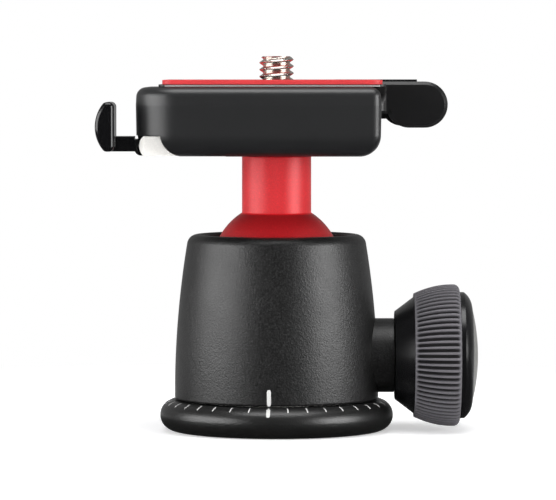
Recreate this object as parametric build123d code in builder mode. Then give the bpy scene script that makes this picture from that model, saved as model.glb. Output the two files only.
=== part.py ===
"""Tripod ball head with a quick-release clamp, in millimetres.

+Z is up the pan axis and the origin is the centre of the base's underside, at the mouth of the
tripod socket. +X points to the locking knob and -Y to the index line. The clamp's channel runs
along X and is open at the right, with its fixed jaw in front and its moving jaw behind.
"""

import os
from math import cos, pi, sin, sqrt

from build123d import *

os.makedirs("parts", exist_ok=True)

# Fits, shared by every pair of mating pieces
running_gap = 0.05  # radial play of a shaft that turns
sliding_gap = 0.1  # play between faces that slide past each other
pan_seam = 0.2  # open seam between the base and the turning housing

# Pan base
base_overhang = 2.7  # base beyond the housing's foot
base_height = 5.6
base_side_flat = 0.1  # left between the rounded outer edges
spindle_radius = 7.5
spindle_flange_width = 4.5  # beyond the spindle
spindle_flange_height = 2.0
socket_radius = 3.97  # minor radius of a 3/8"-16 thread
socket_roof = 1.5  # metal above the socket
socket_chamfer = 0.5
spindle_screw_radius = 1.25
spindle_screw_head = 2.1
spindle_screw_cover = 1.2  # base left above the screws
spindle_screw_offset = 2.2  # from the spindle's side to the screws' axes
spindle_screw_count = 3
thrust_washer_inset = 2.3  # from the housing's foot
thrust_washer_width = 5.2
thrust_washer_height = 0.85

# Pan bearing above the housing's floor
floor_height = 2.3
wave_washer_height = 0.5
wave_washer_width = 1.7
retaining_ring_height = 0.8
retaining_ring_width = 1.5  # beyond the spindle
retaining_groove_depth = 0.6
spindle_tip = 0.6  # spindle left above the retaining ring's groove

# Housing
housing_foot_radius = 18.7
housing_waist_taper = 0.6  # from the foot's radius to the middle's
housing_rim_taper = 2.55  # from the foot's radius to the rim's
housing_rim_edge = 1.9
housing_foot_edge = 0.4
rim_wall = 2.95
collar_thread_depth = 0.5
collar_thread_lead = 0.7  # thread below the collar
rim_lip_edge = 0.4

# Ball and its seats
ball_clearance = 1.3  # from the ball to the housing's bore
rim_above_ball = 6.05  # from the ball's centre
stem_radius = 6.35
stem_top_edge = 0.3
stem_notch_clearance = 0.65
collar_drop = 1.0  # below the ball's centre
collar_rise = 3.7  # above the ball's centre
spanner_hole_radius = 0.7
spanner_hole_depth = 1.6
cup_height = 4.4
cup_boss_radius = 5.1
cup_boss_drop = 3.9  # also the reach of the cup's 45 degree brake cone
cup_drain_radius = 2.6
collar_screw_radius = 1.5
collar_screw_length = 2.3
collar_screw_socket = 0.8
collar_screw_angle = 60  # each side of the stem notch

# Brake plunger, bushing and locking knob, on one axis along X
brake_clearance = 0.6  # between the pan spindle and the plunger
brake_rise = 16.2  # from the knob's axis to the ball's centre
bushing_radius = 4.4
bushing_reach = 3.2  # inwards from the housing's bore
bushing_seat_depth = 2.3  # inwards from the housing's foot
neck_radius = 6.8
neck_length = 2.8  # outwards from the housing's foot
lock_screw_radius = 3.0
lock_screw_stud = 2.5
plunger_length = 7.7  # from the end of its nose cone to its tail
plunger_tip_radius = 0.5
knob_play = 0.2  # between the neck and the knob
knob_back_radius = 8.1
knob_cone_radius = 10.75
knob_cone_length = 3.5
grip_bore = 9.4
grip_small_radius = 11.35
grip_middle_radius = 12.75
grip_large_radius = 12.95
grip_length = 8.4
grip_edge = 1.1
nut_recess_radius = 5.4
nut_recess_depth = 3.0
nut_washer_radius = 5.0
nut_washer_height = 0.6
nut_across_flats = 8.0
nut_height = 2.2
cap_radius = 11.6
cap_rim_height = 0.8
cap_shoulder_height = 1.75
cap_shoulder_radius = 10.6
cap_face_radius = 9.1
cap_height = 2.3
cap_spigot_radius = 9.0
cap_spigot_length = 0.75
disc_radius = 8.8
disc_seat = 1.2  # depth of the disc's pocket
disc_dome = 1.1

# Clamp: one rounded block, shared by the body and the moving jaw
stem_reach = 20.7  # from the ball's centre to the clamp's underside
clamp_height = 12.4
clamp_left_overhang = 4.2  # beyond the plate
clamp_right_setback = 0.9  # short of the plate
clamp_front_wall = 3.0  # beside the plate
clamp_rear_wall = 2.0
clamp_round_corner = 8.0  # at the closed left end
clamp_square_corner = 1.6  # at the open right end
clamp_parting_depth = 3.25  # from the clamp's top to its parting line
clamp_upper_draft = 3.0  # degrees
clamp_lower_draft = 1.0
clamp_top_edge = 1.8
clamp_bottom_edge = 3.8
channel_depth = 4.35
jaw_leg_thickness = 3.4
ledge_height = 4.5  # above the clamp's underside

# Camera plate, with a 45 degree dovetail
plate_half_width = 19.0
plate_half_length = 20.35
plate_offset = -0.75  # of the plate's middle from the screw's axis
plate_foot_height = 1.2
dovetail_depth = 1.9
plate_flange_height = 0.4
plate_corner = 1.5
pad_inset = 0.65  # from the plate's ends
pad_height = 0.8
pad_corner = 2.0
pad_hole_radius = 4.2
camera_screw_radius = 3.175
camera_screw_reach = 4.3  # above the pad
camera_screw_edge = 0.5
camera_screw_head_radius = 6.2
camera_screw_head_height = 2.1
plate_travel = 7.5  # to the right, until its groove meets the latch's nose
head_recess_play = 0.3
coin_slot_width = 1.5
coin_slot_depth = 1.2
clip_outer = 4.6
clip_height = 0.55
clip_groove_depth = 0.55
clip_mouth = 3.0

# Clamp bolt
bolt_radius = 2.9
bolt_head_radius = 4.6
bolt_head_height = 2.7
bolt_socket_across = 4.0
bolt_socket_depth = 1.6
bolt_reach = 8.5  # thread held by the stem
bolt_washer_radius = 5.0
bolt_washer_height = 0.7
bolt_seat_height = 3.5  # above the clamp's underside

# Moving jaw's guides
guide_radius = 1.0
guide_rise = 6.4  # above the clamp's underside
guide_centres = (-14.0, 13.0)
guide_length = 13.0
guide_spring_pocket = 4.8
guide_pocket_radius = 1.9
spring_wire_radius = 0.25
jaw_travel = 1.6

# Cam lever
lever_pin_x = 6.0
lever_pin_radius = 1.5
lever_pin_head_radius = 2.3
lever_pin_head_height = 0.6
lever_washer_height = 0.3
cam_reach = 4.0  # from the pin to the jaw when the lever is shut
lever_hub_radius = 2.35
lug_radius = 4.2
lug_height = 1.9
arm_setback = 2.5  # behind the moving jaw
arm_thickness = 2.8
arm_depth = 6.15  # below the clamp's top
arm_rise = 1.3  # above the clamp's top
arm_shoulder = 1.5  # beyond the start of the cover's round left end
arm_offset = 5.0  # from the pin to where the arm narrows
paddle_radius = 4.37
paddle_drop = 3.46  # below the clamp's top
paddle_reach = 9.3  # from the clamp's right side to the outer circle
paddle_length = 2.9  # between its two circles
arm_paddle_inset = 0.35
arm_paddle_lead = 1.3
grip_gap = 0.4
grip_neck_overlap = 3.4  # behind the clamp's right side
grip_neck_depth = 5.1  # below the clamp's top
grip_rim_chamfer = 0.6
grip_screw_radius = 1.0
grip_screw_head = 1.8
grip_screw_overlap = 0.9  # behind the clamp's right side
grip_screw_rise = 1.0  # above the paddle's centre
grip_screw_depth = 0.8  # cover left in front of the screws' tips

# Safety latch, which turns about a pin along Y. Its places are taken from the clamp's left side,
# front face and underside.
latch_pivot_x = 3.8
latch_pivot_z = 1.2
latch_front = 6.0
latch_rear = 11.4
latch_pin_radius = 0.6
latch_pin_anchor = 18.4
latch_pin_tip = 4.8
bush_left = 0.7
bush_shoulder = 1.5  # where its rounded left end starts
bush_right = 8.6
bush_rear = 5.9
latch_bottom = 0.15
latch_hub_left = -0.2
latch_hub_right = 6.2
latch_hub_top = 3.1
latch_hub_edge = 1.2
latch_arm_bottom = 0.9
latch_arm_top = 3.6
latch_arm_front = 5.2
latch_arm_rear = 10.6
latch_arm_overlap = 0.5  # into the hub
thumb_pad_inner = -3.7
thumb_pad_outer = -7.15
thumb_pad_bow = 1.7
thumb_pad_bottom = 0.9
thumb_pad_top = 9.75
thumb_pad_front = 2.0
thumb_pad_rear = 13.8
thumb_pad_edge = 0.9
thumb_pad_side_edge = 0.8
latch_tail_bottom = 1.8
latch_tail_end = 15.0
latch_tail_half_width = 1.5
latch_tail_y = 7.6
nose_length = 1.4
nose_reach = 1.3  # above the channel's floor
latch_press_angle = 6
notch_ceiling = 3.75
notch_edge_x = 4.5
notch_corner = 4.3
front_wall_inner = 3.2
latch_pocket_rear = 14.4
latch_pocket_right = 16.2
latch_spring_radius = 1.0
latch_spring_turns = 2.5
latch_spring_pitch = 0.9

# Sizes and places that follow from the ones above: pan bearing
base_radius = housing_foot_radius + base_overhang
base_edge = (base_height - base_side_flat) / 2
housing_bottom = base_height + pan_seam
web_top = housing_bottom + floor_height
wave_washer_bottom = web_top + running_gap
retaining_ring_bottom = wave_washer_bottom + wave_washer_height + running_gap
spindle_top = retaining_ring_bottom + retaining_ring_height + spindle_tip
spindle_groove_radius = spindle_radius - retaining_groove_depth
spindle_flange_radius = spindle_radius + spindle_flange_width
spindle_screw_circle = spindle_radius + spindle_screw_offset
wave_washer_outer = spindle_radius + wave_washer_width
retaining_ring_outer = spindle_radius + retaining_ring_width
spindle_screw_length = base_height - spindle_screw_cover
socket_depth = spindle_top - socket_roof
thrust_washer_outer = housing_foot_radius - thrust_washer_inset
thrust_washer_inner = thrust_washer_outer - thrust_washer_width
thrust_washer_bottom = housing_bottom - running_gap - thrust_washer_height

# Housing, ball and seats
knob_height = spindle_top + brake_clearance + lock_screw_radius
ball_height = knob_height + brake_rise
housing_top = ball_height + rim_above_ball
housing_waist_height = (housing_bottom + housing_top) / 2
housing_waist_radius = housing_foot_radius - housing_waist_taper
housing_rim_radius = housing_foot_radius - housing_rim_taper
housing_bore = housing_rim_radius - rim_wall
ball_radius = housing_bore - ball_clearance
seat_radius = ball_radius + running_gap
collar_bottom = ball_height - collar_drop
collar_top = ball_height + collar_rise
collar_middle = (collar_bottom + collar_top) / 2
collar_thread_radius = housing_bore + collar_thread_depth
collar_thread_bottom = collar_bottom - collar_thread_lead
notch_half_width = stem_radius + stem_notch_clearance
cup_radius = housing_bore - sliding_gap
cup_top = ball_height - notch_half_width - sliding_gap
cup_bottom = cup_top - cup_height
cup_cone_radius = cup_boss_radius + cup_boss_drop

# Brake and knob. The cup's cone runs at 45 degrees, so the plunger's nose lies beside it at
# z - x = cone_offset.
bushing_inner_end = housing_bore - bushing_reach
bushing_seat = housing_foot_radius - bushing_seat_depth
neck_end = housing_foot_radius + neck_length
neck_bore = lock_screw_radius + running_gap
cone_offset = cup_bottom - cup_cone_radius - sliding_gap * sqrt(2)
plunger_shoulder = knob_height + lock_screw_radius - cone_offset
plunger_tip = knob_height + plunger_tip_radius - cone_offset
plunger_tail = plunger_shoulder + plunger_length
lock_screw_nose = plunger_tail + running_gap
knob_back = neck_end + knob_play
grip_start = knob_back + knob_cone_length
grip_end = grip_start + grip_length
core_end = grip_end - cap_spigot_length
nut_floor = core_end - nut_recess_depth
cap_start = grip_end
cap_end = cap_start + cap_height

# Clamp and camera plate
plate_left = plate_offset - plate_half_length
clamp_left = plate_left - clamp_left_overhang
clamp_right = plate_offset + plate_half_length - clamp_right_setback
clamp_length = clamp_right - clamp_left
channel_left = plate_left - sliding_gap
clamp_front = -plate_half_width - clamp_front_wall
clamp_rear = plate_half_width + clamp_rear_wall
clamp_bottom = ball_height + stem_reach
clamp_top = clamp_bottom + clamp_height
clamp_parting = clamp_top - clamp_parting_depth
stem_top = clamp_bottom - sliding_gap
channel_floor = clamp_top - channel_depth
jaw_leg_front = clamp_rear - jaw_leg_thickness
ledge_top = clamp_bottom + ledge_height
bolt_seat = clamp_bottom + bolt_seat_height
bolt_head_bottom = bolt_seat + running_gap + bolt_washer_height
guide_height = clamp_bottom + guide_rise
guide_front = clamp_rear - guide_length
jaw_spring_radius = (guide_radius + guide_pocket_radius) / 2
plate_bottom = channel_floor + sliding_gap
plate_flange_bottom = clamp_top + sliding_gap
plate_top = plate_flange_bottom + plate_flange_height
pad_top = plate_top + pad_height
pad_half_length = plate_half_length - pad_inset
dovetail_bottom = plate_bottom + plate_foot_height
dovetail_top = dovetail_bottom + dovetail_depth
lip_half_width = plate_half_width - dovetail_depth
clip_bottom = plate_top - clip_height - sliding_gap
head_top = plate_bottom + head_recess_play + camera_screw_head_height

# Cam lever
lever_pin_y = clamp_rear + running_gap + cam_reach
lever_bottom = ledge_top + sliding_gap
lever_hub_top = clamp_top - sliding_gap
lug_bottom = ledge_top - lug_height
cam_slope = jaw_travel / (pi / 2)
arm_front = clamp_rear + arm_setback
arm_start = lever_pin_x + arm_offset
arm_bottom = clamp_top - arm_depth
arm_top = clamp_top + arm_rise
paddle_centre_height = clamp_top - paddle_drop
paddle_end_x = clamp_right + paddle_reach
paddle_start_x = paddle_end_x - paddle_length
grip_neck_start = clamp_right - grip_neck_overlap
grip_neck_bottom = clamp_top - grip_neck_depth
grip_screw_height = paddle_centre_height + grip_screw_rise
grip_screw_centres = (clamp_right - grip_screw_overlap, (paddle_start_x + paddle_end_x) / 2)

# Safety latch: the clamp's lower left corner, looking back along Y
clamp_corner = Plane(
    origin=(clamp_left, clamp_front, clamp_bottom),
    x_dir=(1, 0, 0),
    z_dir=(0, -1, 0),
)
nose_top = channel_floor + nose_reach - clamp_bottom
nose_swing = (nose_top - latch_pivot_z) * sin(latch_press_angle * pi / 180)
groove_right = clamp_left + latch_tail_end + nose_swing + sliding_gap
bush_front = front_wall_inner + sliding_gap
bush_top = notch_ceiling - sliding_gap


def tube(outer, inner, bottom, height):
    """A ring about Z with flat ends."""
    with BuildPart() as ring:
        with BuildSketch(Plane.XY.offset(bottom)):
            Circle(outer)
            Circle(inner, mode=Mode.SUBTRACT)
        extrude(amount=height)
    return ring.part


# ---------------------------------------------------------------- pan base and its bearing

with BuildPart() as pan_base:
    with BuildSketch():
        Circle(base_radius)
    extrude(amount=base_height)
    fillet(pan_base.edges().filter_by(GeomType.CIRCLE), base_edge)
    with BuildSketch():
        Circle(spindle_flange_radius)
    extrude(amount=spindle_flange_height, mode=Mode.SUBTRACT)
    with BuildSketch():
        Circle(spindle_radius)
    extrude(amount=base_height, mode=Mode.SUBTRACT)
    with BuildSketch(Plane.XY.offset(thrust_washer_bottom)):
        Circle(thrust_washer_outer + running_gap)
        Circle(thrust_washer_inner - running_gap, mode=Mode.SUBTRACT)
    extrude(amount=base_height - thrust_washer_bottom, mode=Mode.SUBTRACT)
    with BuildSketch():
        with PolarLocations(spindle_screw_circle, spindle_screw_count):
            Circle(spindle_screw_radius)
    extrude(amount=spindle_screw_length, mode=Mode.SUBTRACT)
pan_base.part.label = "pan_base"
export_step(pan_base.part, "parts/pan_base.step")

with BuildPart() as spindle_screws:
    with PolarLocations(spindle_screw_circle, spindle_screw_count):
        Cylinder(
            spindle_screw_radius,
            spindle_screw_length,
            align=(Align.CENTER, Align.CENTER, Align.MIN),
        )
        Cone(
            spindle_screw_head,
            spindle_screw_radius,
            spindle_screw_head - spindle_screw_radius,
            align=(Align.CENTER, Align.CENTER, Align.MIN),
        )
spindle_screws.part.label = "spindle_screws"
export_step(spindle_screws.part, "parts/spindle_screws.step")

with BuildPart() as pan_spindle:
    with BuildSketch():
        Circle(spindle_flange_radius)
    extrude(amount=spindle_flange_height)
    with BuildSketch():
        Circle(spindle_radius)
    extrude(amount=spindle_top)
    with BuildSketch():
        Circle(socket_radius)
    extrude(amount=socket_depth, mode=Mode.SUBTRACT)
    Cone(
        socket_radius + socket_chamfer,
        socket_radius,
        socket_chamfer,
        align=(Align.CENTER, Align.CENTER, Align.MIN),
        mode=Mode.SUBTRACT,
    )
    with BuildSketch(Plane.XY.offset(retaining_ring_bottom)):
        Circle(spindle_radius)
        Circle(spindle_groove_radius, mode=Mode.SUBTRACT)
    extrude(amount=retaining_ring_height, mode=Mode.SUBTRACT)
    add(spindle_screws.part, mode=Mode.SUBTRACT)
pan_spindle.part.label = "pan_spindle"
export_step(pan_spindle.part, "parts/pan_spindle.step")

with BuildPart() as thrust_washer:
    add(tube(thrust_washer_outer, thrust_washer_inner, thrust_washer_bottom, thrust_washer_height))
thrust_washer.part.label = "thrust_washer"
export_step(thrust_washer.part, "parts/thrust_washer.step")

with BuildPart() as wave_washer:
    add(
        tube(
            wave_washer_outer,
            spindle_radius + running_gap,
            wave_washer_bottom,
            wave_washer_height,
        )
    )
wave_washer.part.label = "wave_washer"
export_step(wave_washer.part, "parts/wave_washer.step")

with BuildPart() as retaining_ring:
    add(
        tube(
            retaining_ring_outer,
            spindle_groove_radius,
            retaining_ring_bottom,
            retaining_ring_height,
        )
    )
    with Locations((0, spindle_radius, retaining_ring_bottom)):
        Box(
            spindle_groove_radius,
            spindle_radius,
            3 * retaining_ring_height,
            mode=Mode.SUBTRACT,
        )
retaining_ring.part.label = "retaining_ring"
export_step(retaining_ring.part, "parts/retaining_ring.step")

# ---------------------------------------------------------------- housing and ball

with BuildSketch(Plane.XZ) as stem_notch:
    with Locations((0, ball_height)):
        Circle(notch_half_width)
        Rectangle(2 * notch_half_width, housing_top, align=(Align.CENTER, Align.MIN))

with BuildPart() as collar_screws:
    for side in (-collar_screw_angle, collar_screw_angle):
        screw_axis = Plane(
            origin=(0, 0, collar_middle),
            z_dir=(sin(side * pi / 180), cos(side * pi / 180), 0),
        )
        with BuildSketch(screw_axis.offset(collar_thread_radius)):
            Circle(collar_screw_radius)
        extrude(amount=collar_screw_length)
        with BuildSketch(screw_axis.offset(collar_thread_radius + collar_screw_length / 2)):
            RegularPolygon(collar_screw_socket, 6)
        extrude(amount=collar_screw_length / 2, mode=Mode.SUBTRACT)
collar_screws.part.label = "collar_screws"
export_step(collar_screws.part, "parts/collar_screws.step")

with BuildPart() as housing:
    with BuildSketch(Plane.XZ):
        with BuildLine():
            ThreePointArc(
                (housing_foot_radius, housing_bottom),
                (housing_waist_radius, housing_waist_height),
                (housing_rim_radius, housing_top),
            )
            Polyline(
                (housing_rim_radius, housing_top),
                (0, housing_top),
                (0, housing_bottom),
                (housing_foot_radius, housing_bottom),
            )
        make_face()
    revolve(axis=Axis.Z)
    fillet(housing.edges().sort_by(Axis.Z)[-1], housing_rim_edge)
    fillet(housing.edges().sort_by(Axis.Z)[0], housing_foot_edge)
    with BuildSketch(Plane.XY.offset(web_top)):
        Circle(housing_bore)
    extrude(amount=housing_top - web_top, mode=Mode.SUBTRACT)
    with BuildSketch(Plane.XY.offset(collar_thread_bottom)):
        Circle(collar_thread_radius)
    extrude(amount=housing_top - collar_thread_bottom, mode=Mode.SUBTRACT)
    chamfer(
        housing.edges().filter_by(GeomType.CIRCLE).group_by(Axis.Z)[-1].sort_by(SortBy.RADIUS)[0],
        rim_lip_edge,
    )
    with BuildSketch(Plane.XY.offset(housing_bottom)):
        Circle(spindle_radius + running_gap)
    extrude(amount=floor_height, mode=Mode.SUBTRACT)
    with BuildSketch(Plane.YZ):
        with Locations((0, knob_height)):
            Circle(bushing_radius)
    extrude(amount=bushing_seat, mode=Mode.SUBTRACT)
    with BuildSketch(Plane.YZ.offset(bushing_seat)):
        with Locations((0, knob_height)):
            Circle(neck_radius)
    extrude(amount=housing_foot_radius - bushing_seat, mode=Mode.SUBTRACT)
    for side in (-collar_screw_angle, collar_screw_angle):
        screw_axis = Plane(
            origin=(0, 0, collar_middle),
            z_dir=(sin(side * pi / 180), cos(side * pi / 180), 0),
        )
        with BuildSketch(screw_axis):
            Circle(collar_screw_radius)
        extrude(amount=housing_foot_radius, mode=Mode.SUBTRACT)
    extrude(stem_notch.sketch, amount=-housing_foot_radius, mode=Mode.SUBTRACT)
housing.part.label = "housing"
export_step(housing.part, "parts/housing.step")

with BuildPart() as ball_collar:
    with BuildSketch(Plane.XY.offset(collar_bottom)):
        Circle(collar_thread_radius)
    extrude(amount=collar_top - collar_bottom)
    with Locations((0, 0, ball_height)):
        Sphere(seat_radius, mode=Mode.SUBTRACT)
    with BuildSketch(Plane.XY.offset(collar_top - spanner_hole_depth)):
        with PolarLocations((collar_thread_radius + seat_radius) / 2, 2):
            Circle(spanner_hole_radius)
    extrude(amount=spanner_hole_depth, mode=Mode.SUBTRACT)
    extrude(stem_notch.sketch, amount=-housing_foot_radius, mode=Mode.SUBTRACT)
ball_collar.part.label = "ball_collar"
export_step(ball_collar.part, "parts/ball_collar.step")

with BuildPart() as ball_cup:
    with BuildSketch(Plane.XZ):
        with BuildLine():
            Polyline(
                (cup_drain_radius, cup_top),
                (cup_radius, cup_top),
                (cup_radius, cup_bottom),
                (cup_cone_radius, cup_bottom),
                (cup_boss_radius, cup_bottom - cup_boss_drop),
                (cup_drain_radius, cup_bottom - cup_boss_drop),
                close=True,
            )
        make_face()
    revolve(axis=Axis.Z)
    with Locations((0, 0, ball_height)):
        Sphere(seat_radius, mode=Mode.SUBTRACT)
ball_cup.part.label = "ball_cup"
export_step(ball_cup.part, "parts/ball_cup.step")

with BuildPart() as ball_stem:
    with BuildSketch(Plane.XY.offset(ball_height)):
        Circle(stem_radius)
    extrude(amount=stem_top - ball_height)
    chamfer(ball_stem.edges().sort_by(Axis.Z)[-1], stem_top_edge)
    with Locations((0, 0, ball_height)):
        Sphere(ball_radius)
    with BuildSketch(Plane.XY.offset(stem_top)):
        Circle(bolt_radius)
    extrude(amount=-bolt_reach, mode=Mode.SUBTRACT)
ball_stem.part.label = "ball_stem"
export_step(ball_stem.part, "parts/ball_stem.step")

# ---------------------------------------------------------------- brake and locking knob

with BuildPart() as knob_bushing:
    with BuildSketch(Plane.YZ.offset(bushing_inner_end)):
        with Locations((0, knob_height)):
            Circle(bushing_radius)
    extrude(amount=bushing_seat - bushing_inner_end)
    with BuildSketch(Plane.YZ.offset(bushing_seat)):
        with Locations((0, knob_height)):
            Circle(neck_radius)
    extrude(amount=neck_end - bushing_seat)
    with BuildSketch(Plane.YZ.offset(bushing_inner_end)):
        with Locations((0, knob_height)):
            Circle(neck_bore)
    extrude(amount=neck_end - bushing_inner_end, mode=Mode.SUBTRACT)
knob_bushing.part.label = "knob_bushing"
export_step(knob_bushing.part, "parts/knob_bushing.step")

knob_axis = Axis((0, 0, knob_height), (1, 0, 0))

with BuildPart() as lock_plunger:
    with BuildSketch(Plane.XZ):
        with BuildLine():
            Polyline(
                (plunger_tip, knob_height),
                (plunger_tip, knob_height + plunger_tip_radius),
                (plunger_shoulder, knob_height + lock_screw_radius),
                (plunger_tail, knob_height + lock_screw_radius),
                (plunger_tail, knob_height),
                close=True,
            )
        make_face()
    revolve(axis=knob_axis)
lock_plunger.part.label = "lock_plunger"
export_step(lock_plunger.part, "parts/lock_plunger.step")

with BuildPart() as lock_screw:
    with BuildSketch(Plane.YZ.offset(lock_screw_nose)):
        with Locations((0, knob_height)):
            Circle(lock_screw_radius)
    extrude(amount=grip_start - lock_screw_nose)
    with BuildSketch(Plane.YZ.offset(grip_start)):
        with Locations((0, knob_height)):
            Circle(lock_screw_stud)
    extrude(amount=nut_floor + nut_washer_height + nut_height - grip_start)
lock_screw.part.label = "lock_screw"
export_step(lock_screw.part, "parts/lock_screw.step")

with BuildPart() as knob_core:
    with BuildSketch(Plane.XZ):
        with BuildLine():
            Polyline(
                (knob_back, knob_height),
                (knob_back, knob_height + knob_back_radius),
                (grip_start, knob_height + knob_cone_radius),
                (grip_start, knob_height + grip_bore),
                (core_end, knob_height + grip_bore),
                (core_end, knob_height),
                close=True,
            )
        make_face()
    revolve(axis=knob_axis)
    with BuildSketch(Plane.YZ.offset(nut_floor)):
        with Locations((0, knob_height)):
            Circle(nut_recess_radius)
    extrude(amount=nut_recess_depth, mode=Mode.SUBTRACT)
    add(lock_screw.part, mode=Mode.SUBTRACT)
knob_core.part.label = "knob_core"
export_step(knob_core.part, "parts/knob_core.step")

with BuildPart() as knob_washer:
    with BuildSketch(Plane.YZ.offset(nut_floor)):
        with Locations((0, knob_height)):
            Circle(nut_washer_radius)
            Circle(lock_screw_stud, mode=Mode.SUBTRACT)
    extrude(amount=nut_washer_height)
knob_washer.part.label = "knob_washer"
export_step(knob_washer.part, "parts/knob_washer.step")

with BuildPart() as knob_nut:
    with BuildSketch(Plane.YZ.offset(nut_floor + nut_washer_height)):
        with Locations((0, knob_height)):
            RegularPolygon(nut_across_flats / 2, 6, major_radius=False)
            Circle(lock_screw_stud, mode=Mode.SUBTRACT)
    extrude(amount=nut_height)
knob_nut.part.label = "knob_nut"
export_step(knob_nut.part, "parts/knob_nut.step")

with BuildPart() as knob_grip:
    with BuildSketch(Plane.XZ):
        with BuildLine():
            Polyline(
                (grip_start, knob_height + grip_small_radius),
                (grip_start, knob_height + grip_bore),
                (grip_end, knob_height + grip_bore),
                (grip_end, knob_height + grip_large_radius),
            )
            ThreePointArc(
                (grip_start, knob_height + grip_small_radius),
                (grip_start + grip_length / 2, knob_height + grip_middle_radius),
                (grip_end, knob_height + grip_large_radius),
            )
        make_face()
    revolve(axis=knob_axis)
    fillet(knob_grip.edges().group_by(Axis.X)[-1].sort_by(SortBy.RADIUS)[-1], grip_edge)
knob_grip.part.label = "knob_grip"
export_step(knob_grip.part, "parts/knob_grip.step")

with BuildPart() as knob_cap:
    with BuildSketch(Plane.XZ):
        with BuildLine():
            Polyline(
                (cap_end, knob_height),
                (cap_start - cap_spigot_length, knob_height),
                (cap_start - cap_spigot_length, knob_height + cap_spigot_radius),
                (cap_start, knob_height + cap_spigot_radius),
                (cap_start, knob_height + cap_radius),
                (cap_start + cap_rim_height, knob_height + cap_radius),
            )
            ThreePointArc(
                (cap_start + cap_rim_height, knob_height + cap_radius),
                (cap_start + cap_shoulder_height, knob_height + cap_shoulder_radius),
                (cap_end, knob_height + cap_face_radius),
            )
            Line((cap_end, knob_height + cap_face_radius), (cap_end, knob_height))
        make_face()
    revolve(axis=knob_axis)
    with BuildSketch(Plane.YZ.offset(cap_end - disc_seat)):
        with Locations((0, knob_height)):
            Circle(disc_radius)
    extrude(amount=disc_seat, mode=Mode.SUBTRACT)
knob_cap.part.label = "knob_cap"
export_step(knob_cap.part, "parts/knob_cap.step")

with BuildPart() as cap_disc:
    with BuildSketch(Plane.XZ):
        with BuildLine():
            Polyline(
                (cap_end + disc_dome, knob_height),
                (cap_end - disc_seat, knob_height),
                (cap_end - disc_seat, knob_height + disc_radius),
                (cap_end, knob_height + disc_radius),
            )
            TangentArc(
                (cap_end + disc_dome, knob_height),
                (cap_end, knob_height + disc_radius),
                tangent=(0, 1),
            )
        make_face()
    revolve(axis=knob_axis)
cap_disc.part.label = "cap_disc"
export_step(cap_disc.part, "parts/cap_disc.step")

# ---------------------------------------------------------------- clamp

with BuildPart() as clamp_block:
    with BuildSketch(Plane.XY.offset(clamp_parting)) as clamp_outline:
        with Locations((clamp_left, clamp_front)):
            Rectangle(
                clamp_right - clamp_left,
                clamp_rear - clamp_front,
                align=(Align.MIN, Align.MIN),
            )
        fillet(clamp_outline.vertices().group_by(Axis.X)[0], clamp_round_corner)
        fillet(clamp_outline.vertices().group_by(Axis.X)[-1], clamp_square_corner)
    extrude(clamp_outline.sketch, amount=clamp_top - clamp_parting, taper=clamp_upper_draft)
    extrude(clamp_outline.sketch, amount=clamp_bottom - clamp_parting, taper=clamp_lower_draft)
    fillet(clamp_block.faces().sort_by(Axis.Z)[-1].edges(), clamp_top_edge)
    fillet(clamp_block.faces().sort_by(Axis.Z)[0].edges(), clamp_bottom_edge)

with BuildPart() as latch_pin:
    with BuildSketch(clamp_corner.offset(-latch_pin_anchor)):
        with Locations((latch_pivot_x, latch_pivot_z)):
            Circle(latch_pin_radius)
    extrude(amount=latch_pin_anchor - latch_pin_tip)
latch_pin.part.label = "latch_pin"
export_step(latch_pin.part, "parts/latch_pin.step")

with BuildPart() as jaw_guides:
    with BuildSketch(Plane.XZ.offset(-guide_front)):
        with Locations(*[(x, guide_height) for x in guide_centres]):
            Circle(guide_radius)
    extrude(amount=guide_front - clamp_rear + sliding_gap)
jaw_guides.part.label = "jaw_guides"
export_step(jaw_guides.part, "parts/jaw_guides.step")

with BuildPart() as lever_pin:
    with BuildSketch(Plane.XY.offset(lug_bottom)):
        with Locations((lever_pin_x, lever_pin_y)):
            Circle(lever_pin_radius)
    extrude(amount=lever_hub_top + lever_washer_height + running_gap - lug_bottom)
    with BuildSketch(Plane.XY.offset(lever_hub_top + lever_washer_height + running_gap)):
        with Locations((lever_pin_x, lever_pin_y)):
            Circle(lever_pin_head_radius)
    extrude(amount=lever_pin_head_height)
lever_pin.part.label = "lever_pin"
export_step(lever_pin.part, "parts/lever_pin.step")

with BuildPart() as lever_washer:
    with BuildSketch(Plane.XY.offset(lever_hub_top + running_gap)):
        with Locations((lever_pin_x, lever_pin_y)):
            Circle(lever_pin_head_radius)
            Circle(lever_pin_radius, mode=Mode.SUBTRACT)
    extrude(amount=lever_washer_height)
lever_washer.part.label = "lever_washer"
export_step(lever_washer.part, "parts/lever_washer.step")

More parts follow.
